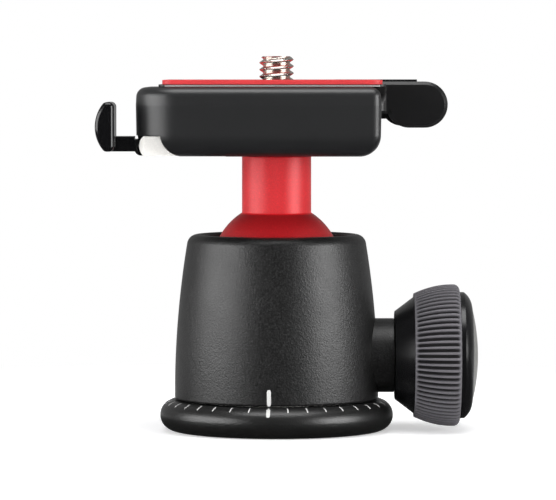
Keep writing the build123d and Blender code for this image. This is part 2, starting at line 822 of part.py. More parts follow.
with BuildPart() as clamp_body:
    add(clamp_block.part)
    # channel for the plate, closed at the left
    with BuildSketch(Plane.YZ.offset(channel_left)):
        with BuildLine():
            Polyline(
                (-plate_half_width - sliding_gap, channel_floor),
                (-plate_half_width - sliding_gap, dovetail_bottom),
                (-lip_half_width - sliding_gap, dovetail_top),
                (-lip_half_width - sliding_gap, clamp_top),
                (clamp_rear, clamp_top),
                (clamp_rear, channel_floor),
                close=True,
            )
        make_face()
    extrude(amount=clamp_right - channel_left, mode=Mode.SUBTRACT)
    # room for the moving jaw
    with BuildSketch(Plane.YZ.offset(clamp_left)):
        with BuildLine():
            Polyline(
                (lip_half_width, clamp_top),
                (clamp_rear, clamp_top),
                (clamp_rear, ledge_top),
                (jaw_leg_front, ledge_top),
                (jaw_leg_front, channel_floor),
                (lip_half_width, channel_floor),
                close=True,
            )
        make_face()
    extrude(amount=clamp_length, mode=Mode.SUBTRACT)
    # lug that carries the lever's pin
    with BuildSketch(Plane.XY.offset(lug_bottom)):
        with Locations((lever_pin_x, lever_pin_y)):
            Circle(lug_radius)
            Rectangle(
                2 * lug_radius,
                lever_pin_y - jaw_leg_front,
                align=(Align.CENTER, Align.MAX),
            )
    extrude(amount=lug_height)
    add(lever_pin.part, mode=Mode.SUBTRACT)
    # bolt's seat
    with BuildSketch(Plane.XY.offset(clamp_bottom)):
        Circle(bolt_radius + sliding_gap)
    extrude(amount=bolt_seat - clamp_bottom, mode=Mode.SUBTRACT)
    with BuildSketch(Plane.XY.offset(bolt_seat)):
        Circle(bolt_washer_radius + sliding_gap)
    extrude(amount=channel_floor - bolt_seat, mode=Mode.SUBTRACT)
    # guide pins and the pockets of their springs
    add(jaw_guides.part, mode=Mode.SUBTRACT)
    with BuildSketch(Plane.XZ.offset(-jaw_leg_front)):
        with Locations(*[(x, guide_height) for x in guide_centres]):
            Circle(guide_pocket_radius)
    extrude(amount=guide_spring_pocket, mode=Mode.SUBTRACT)
    # open notch at the lower left, with the latch's pocket behind the front wall
    with BuildSketch(clamp_corner.offset(-latch_pocket_rear)):
        Rectangle(notch_edge_x, notch_ceiling, align=(Align.MIN, Align.MIN))
    extrude(amount=latch_pocket_rear, mode=Mode.SUBTRACT)
    with BuildSketch(clamp_corner.offset(-latch_pocket_rear)):
        Rectangle(latch_pocket_right, notch_ceiling, align=(Align.MIN, Align.MIN))
    extrude(amount=latch_pocket_rear - front_wall_inner, mode=Mode.SUBTRACT)
    with BuildSketch(clamp_corner.offset(-front_wall_inner)):
        with Locations((notch_edge_x, 0)):
            Rectangle(notch_corner, notch_ceiling, align=(Align.MIN, Align.MIN))
        with Locations((notch_edge_x + notch_corner, notch_corner)):
            Circle(notch_corner, mode=Mode.SUBTRACT)
    extrude(amount=front_wall_inner, mode=Mode.SUBTRACT)
    # slot through which the latch's nose reaches the plate
    with BuildSketch(Plane.XY.offset(clamp_bottom + notch_ceiling)):
        with Locations((clamp_left + latch_pocket_right, clamp_front + latch_tail_y)):
            Rectangle(
                latch_pocket_right - latch_tail_end + nose_length + sliding_gap,
                2 * (latch_tail_half_width + sliding_gap),
                align=(Align.MAX, Align.CENTER),
            )
    extrude(amount=channel_floor - clamp_bottom - notch_ceiling, mode=Mode.SUBTRACT)
    add(latch_pin.part, mode=Mode.SUBTRACT)
clamp_body.part.label = "clamp_body"
export_step(clamp_body.part, "parts/clamp_body.step")

with BuildPart() as moving_jaw:
    add(clamp_block.part)
    with BuildSketch(Plane.YZ.offset(clamp_left)):
        with BuildLine():
            Polyline(
                (jaw_leg_front + sliding_gap, ledge_top + sliding_gap),
                (clamp_rear, ledge_top + sliding_gap),
                (clamp_rear, clamp_top),
                (lip_half_width + sliding_gap, clamp_top),
                (lip_half_width + sliding_gap, dovetail_top),
                (plate_half_width + sliding_gap, dovetail_bottom),
                (plate_half_width + sliding_gap, channel_floor),
                (jaw_leg_front + sliding_gap, channel_floor),
                close=True,
            )
        make_face()
    extrude(amount=clamp_length, mode=Mode.INTERSECT)
    with BuildSketch(Plane.XZ.offset(-jaw_leg_front)):
        with Locations(*[(x, guide_height) for x in guide_centres]):
            Circle(guide_radius + running_gap)
    extrude(amount=jaw_leg_front - clamp_rear, mode=Mode.SUBTRACT)
moving_jaw.part.label = "moving_jaw"
export_step(moving_jaw.part, "parts/moving_jaw.step")

with BuildPart() as jaw_springs:
    for x in guide_centres:
        with BuildLine() as coil:
            Helix(
                pitch=5 * spring_wire_radius,
                height=guide_spring_pocket - 2 * spring_wire_radius,
                radius=jaw_spring_radius,
                center=(x, jaw_leg_front - guide_spring_pocket + spring_wire_radius, guide_height),
                direction=(0, 1, 0),
            )
        with BuildSketch(Plane(coil.line @ 0, z_dir=coil.line % 0)):
            Circle(spring_wire_radius)
        sweep(path=coil.line, is_frenet=True)
jaw_springs.part.label = "jaw_springs"
export_step(jaw_springs.part, "parts/jaw_springs.step")

with BuildPart() as bolt_washer:
    add(tube(bolt_washer_radius, bolt_radius, bolt_seat + running_gap, bolt_washer_height))
bolt_washer.part.label = "bolt_washer"
export_step(bolt_washer.part, "parts/bolt_washer.step")

with BuildPart() as clamp_bolt:
    with BuildSketch(Plane.XY.offset(stem_top - bolt_reach)):
        Circle(bolt_radius)
    extrude(amount=bolt_head_bottom - stem_top + bolt_reach)
    with BuildSketch(Plane.XY.offset(bolt_head_bottom)):
        Circle(bolt_head_radius)
    extrude(amount=bolt_head_height)
    with BuildSketch(Plane.XY.offset(bolt_head_bottom + bolt_head_height)):
        RegularPolygon(bolt_socket_across / 2, 6, major_radius=False)
    extrude(amount=-bolt_socket_depth, mode=Mode.SUBTRACT)
clamp_bolt.part.label = "clamp_bolt"
export_step(clamp_bolt.part, "parts/clamp_bolt.step")

# ---------------------------------------------------------------- cam lever


def cam_point(angle):
    """The cam's point with its normal at this angle; its distance changes evenly with it."""
    reach = cam_reach - jaw_travel + cam_slope * (angle + pi)
    return (
        lever_pin_x + reach * cos(angle) - cam_slope * sin(angle),
        lever_pin_y + reach * sin(angle) + cam_slope * cos(angle),
    )


cam_angles = [-pi / 2 - step * pi / 12 for step in range(7)]

with BuildPart() as grip_screws:
    for x in grip_screw_centres:
        with Locations(Location((x, arm_front + arm_thickness, grip_screw_height), (90, 0, 0))):
            Cylinder(
                grip_screw_radius,
                arm_front + arm_thickness - clamp_rear - grip_gap - grip_screw_depth,
                align=(Align.CENTER, Align.CENTER, Align.MIN),
            )
            Cone(
                grip_screw_head,
                grip_screw_radius,
                grip_screw_head - grip_screw_radius,
                align=(Align.CENTER, Align.CENTER, Align.MIN),
            )
grip_screws.part.label = "grip_screws"
export_step(grip_screws.part, "parts/grip_screws.step")

with BuildPart() as lever_arm:
    with BuildSketch(Plane.XY.offset(lever_bottom)):
        with BuildLine():
            cam_edge = Spline(*[cam_point(angle) for angle in cam_angles])
            Polyline(
                cam_edge @ 1,
                (lever_pin_x, lever_pin_y),
                (arm_start, arm_front),
                cam_edge @ 0,
            )
        make_face()
        with Locations((lever_pin_x, lever_pin_y)):
            Circle(lever_hub_radius)
        with Locations((lever_pin_x, arm_front)):
            Rectangle(
                paddle_end_x + paddle_radius - lever_pin_x,
                arm_thickness,
                align=(Align.MIN, Align.MIN),
            )
    extrude(amount=arm_top - lever_bottom)
    with BuildSketch(Plane.XZ.offset(-lever_pin_y - cam_reach)):
        with Locations((lever_pin_x - cam_reach, lever_bottom)):
            Rectangle(
                arm_start - lever_pin_x + cam_reach,
                lever_hub_top - lever_bottom,
                align=(Align.MIN, Align.MIN),
            )
        with Locations((arm_start, arm_bottom)):
            Rectangle(
                paddle_start_x + arm_shoulder - arm_start,
                arm_top - arm_bottom,
                align=(Align.MIN, Align.MIN),
            )
        with Locations((paddle_end_x, paddle_centre_height)):
            Circle(paddle_radius - arm_paddle_inset)
        with Locations((paddle_start_x - arm_paddle_lead, paddle_centre_height)):
            Circle(paddle_radius - arm_paddle_inset)
            Rectangle(
                paddle_end_x - paddle_start_x + arm_paddle_lead,
                2 * (paddle_radius - arm_paddle_inset),
                align=(Align.MIN, Align.CENTER),
            )
    extrude(amount=2 * cam_reach, mode=Mode.INTERSECT)
    with BuildSketch(Plane.XY.offset(lever_bottom)):
        with Locations((lever_pin_x, lever_pin_y)):
            Circle(lever_pin_radius + running_gap)
    extrude(amount=arm_top - lever_bottom, mode=Mode.SUBTRACT)
    add(grip_screws.part, mode=Mode.SUBTRACT)
lever_arm.part.label = "lever_arm"
export_step(lever_arm.part, "parts/lever_arm.step")

with BuildPart() as lever_grip:
    with BuildSketch(Plane.XZ.offset(-arm_front)):
        with Locations((grip_neck_start, grip_neck_bottom)):
            Rectangle(
                paddle_start_x - grip_neck_start,
                paddle_centre_height + paddle_radius - grip_neck_bottom,
                align=(Align.MIN, Align.MIN),
            )
        with Locations((paddle_start_x, paddle_centre_height)):
            Circle(paddle_radius)
            Rectangle(
                paddle_end_x - paddle_start_x,
                2 * paddle_radius,
                align=(Align.MIN, Align.CENTER),
            )
        with Locations((paddle_end_x, paddle_centre_height)):
            Circle(paddle_radius)
    extrude(amount=arm_front - clamp_rear - grip_gap)
    chamfer(lever_grip.faces().sort_by(Axis.Y)[0].edges(), grip_rim_chamfer)
    add(grip_screws.part, mode=Mode.SUBTRACT)
lever_grip.part.label = "lever_grip"
export_step(lever_grip.part, "parts/lever_grip.step")

# ---------------------------------------------------------------- safety latch

with BuildPart() as latch_bush:
    with BuildSketch(clamp_corner.offset(-bush_rear)):
        with BuildLine():
            Polyline(
                (bush_shoulder, bush_top),
                (bush_right, bush_top),
                (bush_right, latch_bottom),
                (bush_shoulder, latch_bottom),
            )
            ThreePointArc(
                (bush_shoulder, latch_bottom),
                (bush_left, (latch_bottom + bush_top) / 2),
                (bush_shoulder, bush_top),
            )
        make_face()
    extrude(amount=bush_rear - bush_front)
    extrude(clamp_outline.sketch, amount=clamp_bottom - clamp_parting, mode=Mode.INTERSECT)
    with BuildSketch(clamp_corner.offset(-bush_rear)):
        with Locations((latch_pivot_x, latch_pivot_z)):
            Circle(latch_pin_radius)
    extrude(amount=bush_rear - latch_pin_tip + sliding_gap, mode=Mode.SUBTRACT)
latch_bush.part.label = "latch_bush"
export_step(latch_bush.part, "parts/latch_bush.step")

with BuildPart() as thumb_pad:
    # bowed outwards
    with BuildSketch(clamp_corner.offset(-thumb_pad_rear)):
        with BuildLine():
            ThreePointArc(
                (thumb_pad_outer + thumb_pad_bow, thumb_pad_bottom),
                (thumb_pad_outer, (thumb_pad_bottom + thumb_pad_top) / 2),
                (thumb_pad_outer + thumb_pad_bow, thumb_pad_top),
            )
            Polyline(
                (thumb_pad_outer + thumb_pad_bow, thumb_pad_top),
                (thumb_pad_inner, thumb_pad_top),
                (thumb_pad_inner, thumb_pad_bottom),
                (thumb_pad_outer + thumb_pad_bow, thumb_pad_bottom),
            )
        thumb_pad_face = make_face()
        fillet(thumb_pad_face.vertices(), thumb_pad_edge)
    extrude(amount=thumb_pad_rear - thumb_pad_front)
    thumb_pad_sides = thumb_pad.faces().sort_by(Axis.Y)
    fillet(thumb_pad_sides[0].edges() + thumb_pad_sides[-1].edges(), thumb_pad_side_edge)

with BuildPart() as safety_latch:
    add(thumb_pad.part)
    # hub
    with BuildSketch(clamp_corner.offset(-latch_rear)) as latch_hub:
        with Locations((latch_hub_left, latch_bottom)):
            Rectangle(
                latch_hub_right - latch_hub_left,
                latch_hub_top - latch_bottom,
                align=(Align.MIN, Align.MIN),
            )
        fillet(latch_hub.vertices().group_by(Axis.X)[0].sort_by(Axis.Y)[0], latch_hub_edge)
    extrude(amount=latch_rear - latch_front)
    # arm out to the thumb pad
    with BuildSketch(clamp_corner.offset(-latch_arm_rear)):
        with Locations((thumb_pad_inner - thumb_pad_edge, latch_arm_bottom)):
            Rectangle(
                latch_hub_left - thumb_pad_inner + thumb_pad_edge,
                latch_arm_top - latch_arm_bottom,
                align=(Align.MIN, Align.MIN),
            )
        with Locations((latch_hub_left, latch_arm_bottom)):
            Rectangle(
                latch_arm_overlap,
                latch_hub_top - latch_arm_bottom,
                align=(Align.MIN, Align.MIN),
            )
    extrude(amount=latch_arm_rear - latch_arm_front)
    # tail and nose
    with BuildSketch(clamp_corner.offset(-latch_tail_y)):
        with Locations((latch_hub_right, latch_tail_bottom)):
            Rectangle(
                latch_tail_end - latch_hub_right,
                latch_hub_top - latch_tail_bottom,
                align=(Align.MIN, Align.MIN),
            )
        with Locations((latch_tail_end, latch_tail_bottom)):
            Rectangle(
                nose_length,
                nose_top - latch_tail_bottom,
                align=(Align.MAX, Align.MIN),
            )
    extrude(amount=latch_tail_half_width, both=True)
    # pin's hole
    with BuildSketch(clamp_corner.offset(-latch_rear)):
        with Locations((latch_pivot_x, latch_pivot_z)):
            Circle(latch_pin_radius + running_gap)
    extrude(amount=latch_rear - latch_front, mode=Mode.SUBTRACT)
safety_latch.part.label = "safety_latch"
export_step(safety_latch.part, "parts/safety_latch.step")

with BuildPart() as latch_spring:
    with BuildLine() as coil:
        Helix(
            pitch=latch_spring_pitch,
            height=latch_spring_pitch * latch_spring_turns,
            radius=latch_spring_radius,
            center=clamp_corner.offset(-latch_rear - 2 * spring_wire_radius).from_local_coords(
                (latch_pivot_x, latch_pivot_z, 0)
            ),
            direction=(0, 1, 0),
        )
    with BuildSketch(Plane(coil.line @ 0, z_dir=coil.line % 0)):
        Circle(spring_wire_radius)
    sweep(path=coil.line, is_frenet=True)
latch_spring.part.label = "latch_spring"
export_step(latch_spring.part, "parts/latch_spring.step")

# ---------------------------------------------------------------- camera plate and screw

with BuildPart() as qr_plate:
    with BuildSketch(Plane.YZ.offset(plate_left)):
        with BuildLine():
            Polyline(
                (-plate_half_width, plate_bottom),
                (-plate_half_width, dovetail_bottom),
                (-lip_half_width, dovetail_top),
                (-lip_half_width, plate_flange_bottom),
                (-plate_half_width, plate_flange_bottom),
                (-plate_half_width, plate_top),
                (plate_half_width, plate_top),
                (plate_half_width, plate_flange_bottom),
                (lip_half_width, plate_flange_bottom),
                (lip_half_width, dovetail_top),
                (plate_half_width, dovetail_bottom),
                (plate_half_width, plate_bottom),
                close=True,
            )
        make_face()
    extrude(amount=2 * plate_half_length)
    with BuildSketch(Plane.XY.offset(plate_bottom)):
        with Locations((plate_offset, 0)):
            RectangleRounded(2 * plate_half_length, 2 * plate_half_width, plate_corner)
    extrude(amount=plate_top - plate_bottom, mode=Mode.INTERSECT)
    # screw's hole, head recess and clip pocket
    with BuildSketch(Plane.XY.offset(plate_bottom)):
        Circle(camera_screw_radius + running_gap)
    extrude(amount=plate_top - plate_bottom, mode=Mode.SUBTRACT)
    with BuildSketch(Plane.XY.offset(plate_bottom)):
        Circle(camera_screw_head_radius + sliding_gap)
    extrude(amount=head_top + sliding_gap - plate_bottom, mode=Mode.SUBTRACT)
    with BuildSketch(Plane.XY.offset(clip_bottom - sliding_gap)):
        Circle(clip_outer + sliding_gap)
    extrude(amount=plate_top - clip_bottom + sliding_gap, mode=Mode.SUBTRACT)
    # groove that the latch's nose stands in, with room for the plate's travel
    with BuildSketch(Plane.XY.offset(plate_bottom)):
        with Locations((groove_right, clamp_front + latch_tail_y)):
            Rectangle(
                nose_length + nose_swing + plate_travel + 2 * sliding_gap,
                2 * (latch_tail_half_width + sliding_gap),
                align=(Align.MAX, Align.CENTER),
            )
    extrude(amount=clamp_bottom + nose_top - plate_bottom + sliding_gap, mode=Mode.SUBTRACT)
qr_plate.part.label = "qr_plate"
export_step(qr_plate.part, "parts/qr_plate.step")

with BuildPart() as grip_pad:
    with BuildSketch(Plane.XY.offset(plate_top)):
        with Locations((plate_offset, 0)):
            RectangleRounded(2 * pad_half_length, 2 * plate_half_width, pad_corner)
        Circle(pad_hole_radius, mode=Mode.SUBTRACT)
    extrude(amount=pad_height)
grip_pad.part.label = "grip_pad"
export_step(grip_pad.part, "parts/grip_pad.step")

with BuildPart() as camera_screw:
    with BuildSketch(Plane.XY.offset(head_top)):
        Circle(camera_screw_radius)
    extrude(amount=pad_top + camera_screw_reach - head_top)
    chamfer(camera_screw.edges().sort_by(Axis.Z)[-1], camera_screw_edge)
    with BuildSketch(Plane.XY.offset(head_top)):
        Circle(camera_screw_head_radius)
    extrude(amount=-camera_screw_head_height)
    with BuildSketch(Plane.XY.offset(head_top - camera_screw_head_height)):
        Rectangle(2 * camera_screw_head_radius, coin_slot_width)
    extrude(amount=coin_slot_depth, mode=Mode.SUBTRACT)
    with BuildSketch(Plane.XY.offset(clip_bottom)):
        Circle(camera_screw_radius)
        Circle(camera_screw_radius - clip_groove_depth, mode=Mode.SUBTRACT)
    extrude(amount=clip_height, mode=Mode.SUBTRACT)
camera_screw.part.label = "camera_screw"
export_step(camera_screw.part, "parts/camera_screw.step")

with BuildPart() as screw_clip:
    add(tube(clip_outer, camera_screw_radius - clip_groove_depth, clip_bottom, clip_height))
    with BuildSketch(Plane.XY.offset(clip_bottom)):
        Rectangle(clip_mouth, clip_outer, align=(Align.CENTER, Align.MIN))
    extrude(amount=clip_height, mode=Mode.SUBTRACT)
screw_clip.part.label = "screw_clip"
export_step(screw_clip.part, "parts/screw_clip.step")
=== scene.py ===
"""Looks of the tripod ball head: finishes, ribs, threads, tick marks, light and camera.

All sizes are in metres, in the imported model's frame: +Z up, +X to the knob, -Y to the index line.
"""

import math

import bmesh
import bpy
from mathutils import Matrix, Vector


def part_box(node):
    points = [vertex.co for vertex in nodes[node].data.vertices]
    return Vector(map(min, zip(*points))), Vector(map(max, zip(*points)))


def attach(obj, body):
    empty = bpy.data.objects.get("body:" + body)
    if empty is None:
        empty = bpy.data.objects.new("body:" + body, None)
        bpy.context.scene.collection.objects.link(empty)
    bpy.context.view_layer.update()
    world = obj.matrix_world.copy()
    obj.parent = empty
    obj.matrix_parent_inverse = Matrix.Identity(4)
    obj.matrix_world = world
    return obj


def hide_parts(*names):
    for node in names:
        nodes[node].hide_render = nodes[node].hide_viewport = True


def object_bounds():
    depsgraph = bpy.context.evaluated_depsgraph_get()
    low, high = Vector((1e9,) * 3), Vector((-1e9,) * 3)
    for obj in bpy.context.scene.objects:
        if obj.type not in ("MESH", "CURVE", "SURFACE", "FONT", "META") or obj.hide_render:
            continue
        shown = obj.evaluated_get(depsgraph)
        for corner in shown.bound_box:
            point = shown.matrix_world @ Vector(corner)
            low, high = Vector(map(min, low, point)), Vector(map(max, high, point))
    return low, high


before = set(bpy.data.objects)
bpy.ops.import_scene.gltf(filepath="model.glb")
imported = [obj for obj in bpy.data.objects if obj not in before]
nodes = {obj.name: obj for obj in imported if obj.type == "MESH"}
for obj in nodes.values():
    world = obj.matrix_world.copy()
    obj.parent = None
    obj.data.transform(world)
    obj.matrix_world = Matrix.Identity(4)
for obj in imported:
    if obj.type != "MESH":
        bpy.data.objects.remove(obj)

cad_low, cad_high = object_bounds()
MM = 0.001
TAU = 2 * math.pi


# ---------------------------------------------------------------- node trees


class Tree:
    """A node tree, with short calls for its nodes, links and named sockets."""

    def __init__(self, tree):
        self.tree = tree

    @classmethod
    def geometry(cls, name):
        """A new tree that takes a geometry and gives one."""
        built = cls(bpy.data.node_groups.new(name, "GeometryNodeTree"))
        built.tree.interface.new_socket(
            "Geometry", in_out="INPUT", socket_type="NodeSocketGeometry"
        )
        built.tree.interface.new_socket(
            "Geometry", in_out="OUTPUT", socket_type="NodeSocketGeometry"
        )
        built.start = built.tree.nodes.new("NodeGroupInput")
        built.end = built.tree.nodes.new("NodeGroupOutput")
        return built

    @classmethod
    def shader_group(cls, name, inputs, outputs):
        """inputs are (name, type, value); outputs are (name, type)."""
        built = cls(bpy.data.node_groups.new(name, "ShaderNodeTree"))
        for label, kind, value in inputs:
            socket = built.tree.interface.new_socket(label, in_out="INPUT", socket_type=kind)
            socket.default_value = value
        for label, kind in outputs:
            built.tree.interface.new_socket(label, in_out="OUTPUT", socket_type=kind)
        built.start = built.tree.nodes.new("NodeGroupInput")
        built.end = built.tree.nodes.new("NodeGroupOutput")
        return built

    def size(self, name, kind, value=None):
        """A named input of a geometry tree."""
        socket = self.tree.interface.new_socket(name, in_out="INPUT", socket_type=kind)
        if value is not None:
            socket.default_value = value
        return self.start.outputs[name]

    def node(self, kind, *inputs, **settings):
        """Adds a node. Its inputs, in order or by name in a dict, are sockets or values."""
        made = self.tree.nodes.new(kind)
        for key, value in settings.items():
            setattr(made, key, value)
        given = list(enumerate(inputs))
        if inputs and isinstance(inputs[0], dict):
            given = list(inputs[0].items())
        for key, value in given:
            if value is None:
                continue
            socket = made.inputs[key]
            if isinstance(value, bpy.types.NodeSocket):
                self.tree.links.new(value, socket)
            else:
                socket.default_value = value
        return made

    def math(self, operation, *inputs):
        return self.node("ShaderNodeMath", *inputs, operation=operation).outputs[0]

    def vector_math(self, operation, *inputs):
        made = self.node("ShaderNodeVectorMath", *inputs, operation=operation)
        gives_number = operation in ("LENGTH", "DISTANCE", "DOT_PRODUCT")
        return made.outputs["Value" if gives_number else "Vector"]

    def scaled(self, vector, factor):
        made = self.node("ShaderNodeVectorMath", {0: vector, "Scale": factor}, operation="SCALE")
        return made.outputs["Vector"]

    def map_range(self, value, low, high, to_low=0.0, to_high=1.0, **settings):
        """Turns low to high into to_low to to_high, and holds it at the ends."""
        sizes = {"Value": value, "From Min": low, "From Max": high}
        sizes.update({"To Min": to_low, "To Max": to_high})
        return self.node("ShaderNodeMapRange", sizes, clamp=True, **settings).outputs["Result"]

    def object_place(self):
        """The sockets X, Y and Z of the place in object coordinates."""
        place = self.node("ShaderNodeTexCoord").outputs["Object"]
        return self.node("ShaderNodeSeparateXYZ", place).outputs

    def finish(self, *outputs):
        for index, socket in enumerate(outputs):
            self.tree.links.new(socket, self.end.inputs[index])
        return self.tree


def new_object(name, data):
    """An object that is in the scene."""
    made = bpy.data.objects.new(name, data)
    bpy.context.scene.collection.objects.link(made)
    return made


def add_tree(made, tree, sizes, material):
    """Puts a geometry tree on an object, with values for its named inputs."""
    modifier = made.modifiers.new("grow", "NODES")
    modifier.node_group = tree
    named = [item for item in tree.interface.items_tree if item.in_out == "INPUT"]
    keys = {item.name: item.identifier for item in named}
    for label, value in {**sizes, "Material": material}.items():
        modifier[keys[label]] = value
    return modifier


def evaluated_mesh(made):
    """A plain mesh of an object with its modifiers applied."""
    graph = bpy.context.evaluated_depsgraph_get()
    return bpy.data.meshes.new_from_object(made.evaluated_get(graph))


def grown(name, tree, material, body, sizes, seed):
    """Runs a geometry tree on a seed mesh, and keeps what comes out as a plain mesh on body."""
    made = new_object(name, seed)
    modifier = add_tree(made, tree, sizes, material)
    plain = evaluated_mesh(made)
    made.modifiers.remove(modifier)
    made.data = plain
    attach(made, body)
    return made


# ---------------------------------------------------------------- shared effects


GRAIN_MEAN, GRAIN_SWING = 0.14, 5.0  # of the cubed noise
CLOUD_SCALE, CLOUD_SWING, CLOUD_LOWEST = 90.0, 0.24, 0.88


def blasted_grain():
    """Bead-blasted skin: tiny pits and brighter grains. Tone is around 1, Height in metres."""
    built = Tree.shader_group(
        "blasted_grain",
        [
            ("Grain", "NodeSocketFloat", 0.00018),
            ("Contrast", "NodeSocketFloat", 0.4),
            ("Depth", "NodeSocketFloat", 0.00001),
        ],
        [("Tone", "NodeSocketFloat"), ("Height", "NodeSocketFloat")],
    )
    place = built.node("ShaderNodeTexCoord").outputs["Object"]
    scale = built.math("DIVIDE", 1.0, built.start.outputs["Grain"])
    fine = built.node(
        "ShaderNodeTexNoise", {"Vector": place, "Scale": scale, "Detail": 2.0, "Roughness": 0.6}
    ).outputs["Fac"]
    cells = built.node(
        "ShaderNodeTexVoronoi", {"Vector": place, "Scale": scale}, feature="F1"
    ).outputs["Distance"]
    wide = built.node(
        "ShaderNodeTexNoise", {"Vector": place, "Scale": CLOUD_SCALE, "Detail": 2.0}
    ).outputs["Fac"]
    grains = built.math("POWER", fine, 3.0)
    swing = built.math("MULTIPLY", built.math("SUBTRACT", grains, GRAIN_MEAN), GRAIN_SWING)
    tone = built.math("MULTIPLY_ADD", swing, built.start.outputs["Contrast"], 1.0)
    cloud = built.math("MULTIPLY_ADD", wide, CLOUD_SWING, CLOUD_LOWEST)
    tone = built.math("MULTIPLY", tone, cloud)
    height = built.math(
        "MULTIPLY",
        built.math("ADD", fine, built.math("MULTIPLY", cells, 0.5)),
        built.start.outputs["Depth"],
    )
    return built.finish(built.math("MAXIMUM", tone, 0.0), height)


EDGE_STARTS, EDGE_FULL = 0.995, 0.8  # cosine between the turned and the flat normal


def soft_edges():
    """Rounded edges: a normal that turns over Radius at each edge, and a mask that is 1 there."""
    built = Tree.shader_group(
        "soft_edges",
        [("Radius", "NodeSocketFloat", 0.00015)],
        [("Normal", "NodeSocketVector"), ("Mask", "NodeSocketFloat")],
    )
    turned = built.node(
        "ShaderNodeBevel", {"Radius": built.start.outputs["Radius"]}, samples=8
    ).outputs["Normal"]
    flat = built.node("ShaderNodeNewGeometry").outputs["Normal"]
    alike = built.vector_math("DOT_PRODUCT", turned, flat)
    mask = built.map_range(alike, EDGE_STARTS, EDGE_FULL)
    return built.finish(turned, mask)


def handled_smudge():
    """Slow variation of gloss from handling and moulding. Puts out a number around 1."""
    built = Tree.shader_group(
        "handled_smudge",
        [("Size", "NodeSocketFloat", 0.006), ("Amount", "NodeSocketFloat", 0.25)],
        [("Tone", "NodeSocketFloat")],
    )
    place = built.node("ShaderNodeTexCoord").outputs["Object"]
    scale = built.math("DIVIDE", 1.0, built.start.outputs["Size"])
    cloud = built.node(
        "ShaderNodeTexNoise",
        {"Vector": place, "Scale": scale, "Detail": 4.0, "Roughness": 0.55, "Distortion": 0.4},
    ).outputs["Fac"]
    swing = built.math("MULTIPLY", built.math("SUBTRACT", cloud, 0.5), 2.0)
    return built.finish(built.math("MULTIPLY_ADD", swing, built.start.outputs["Amount"], 1.0))


def turned_lines():
    """Fine lathe rings about an axis through a centre. Puts out a number from 0 to 1."""
    built = Tree.shader_group(
        "turned_lines",
        [
            ("Centre", "NodeSocketVector", (0, 0, 0)),
            ("Across", "NodeSocketVector", (1, 1, 0)),
            ("Pitch", "NodeSocketFloat", 0.00012),
        ],
        [("Lines", "NodeSocketFloat")],
    )
    place = built.node("ShaderNodeTexCoord").outputs["Object"]
    arm = built.vector_math(
        "MULTIPLY",
        built.vector_math("SUBTRACT", place, built.start.outputs["Centre"]),
        built.start.outputs["Across"],
    )
    reach = built.math("DIVIDE", built.vector_math("LENGTH", arm), built.start.outputs["Pitch"])
    ring = built.node(
        "ShaderNodeTexNoise", {"W": reach, "Scale": 1.0, "Detail": 3.0}, noise_dimensions="1D"
    ).outputs["Fac"]
    return built.finish(ring)


GRAIN, EDGES, SMUDGE, LINES = blasted_grain(), soft_edges(), handled_smudge(), turned_lines()


def finish_of(
    name,
    color,
    roughness,
    metallic=0.0,
    grain=0.0002,
    contrast=0.3,
    depth=0.000008,
    edge=0.00012,
    painted_edge_highlight=0.5,
    smudge=0.15,
    specular=0.5,
    pattern=None,
):
    """A finish with grain, rounded edges that catch the light and get a painted highlight, and
    slowly varying gloss.

    A pattern gets the material's tree and gives a tone, a gloss and a height to lay over them.
    Each of the three may be None.
    """
    material = bpy.data.materials.new(name)
    material.use_nodes = True
    material.diffuse_color = (*color, 1)
    tree = Tree(material.node_tree)
    shader = material.node_tree.nodes["Principled BSDF"]
    grain_node = tree.node("ShaderNodeGroup", node_tree=GRAIN)
    grain_node.inputs["Grain"].default_value = grain
    grain_node.inputs["Contrast"].default_value = contrast
    grain_node.inputs["Depth"].default_value = depth
    edge_node = tree.node("ShaderNodeGroup", node_tree=EDGES)
    edge_node.inputs["Radius"].default_value = edge
    smudge_node = tree.node("ShaderNodeGroup", node_tree=SMUDGE)
    smudge_node.inputs["Amount"].default_value = smudge
    # painted highlight: the colour is made lighter on the rounded edges
    edge_highlight_tone = tree.math("MULTIPLY_ADD", edge_node.outputs["Mask"], painted_edge_highlight, 1.0)
    tone = tree.math("MULTIPLY", grain_node.outputs["Tone"], edge_highlight_tone)
    gloss = smudge_node.outputs["Tone"]
    height = grain_node.outputs["Height"]
    if pattern:
        own_tone, own_gloss, own_height = pattern(tree)
        tone = tree.math("MULTIPLY", tone, own_tone) if own_tone else tone
        gloss = tree.math("MULTIPLY", gloss, own_gloss) if own_gloss else gloss
        height = tree.math("ADD", height, own_height) if own_height else height
    tree.tree.links.new(tree.scaled(color, tone), shader.inputs["Base Color"])
    tree.tree.links.new(tree.math("MULTIPLY", gloss, roughness), shader.inputs["Roughness"])
    bump = tree.node(
        "ShaderNodeBump",
        {"Height": height, "Normal": edge_node.outputs["Normal"], "Distance": 1.0, "Strength": 1.0},
    )
    tree.tree.links.new(bump.outputs["Normal"], shader.inputs["Normal"])
    shader.inputs["Metallic"].default_value = metallic
    shader.inputs["Specular IOR Level"].default_value = specular
    return material


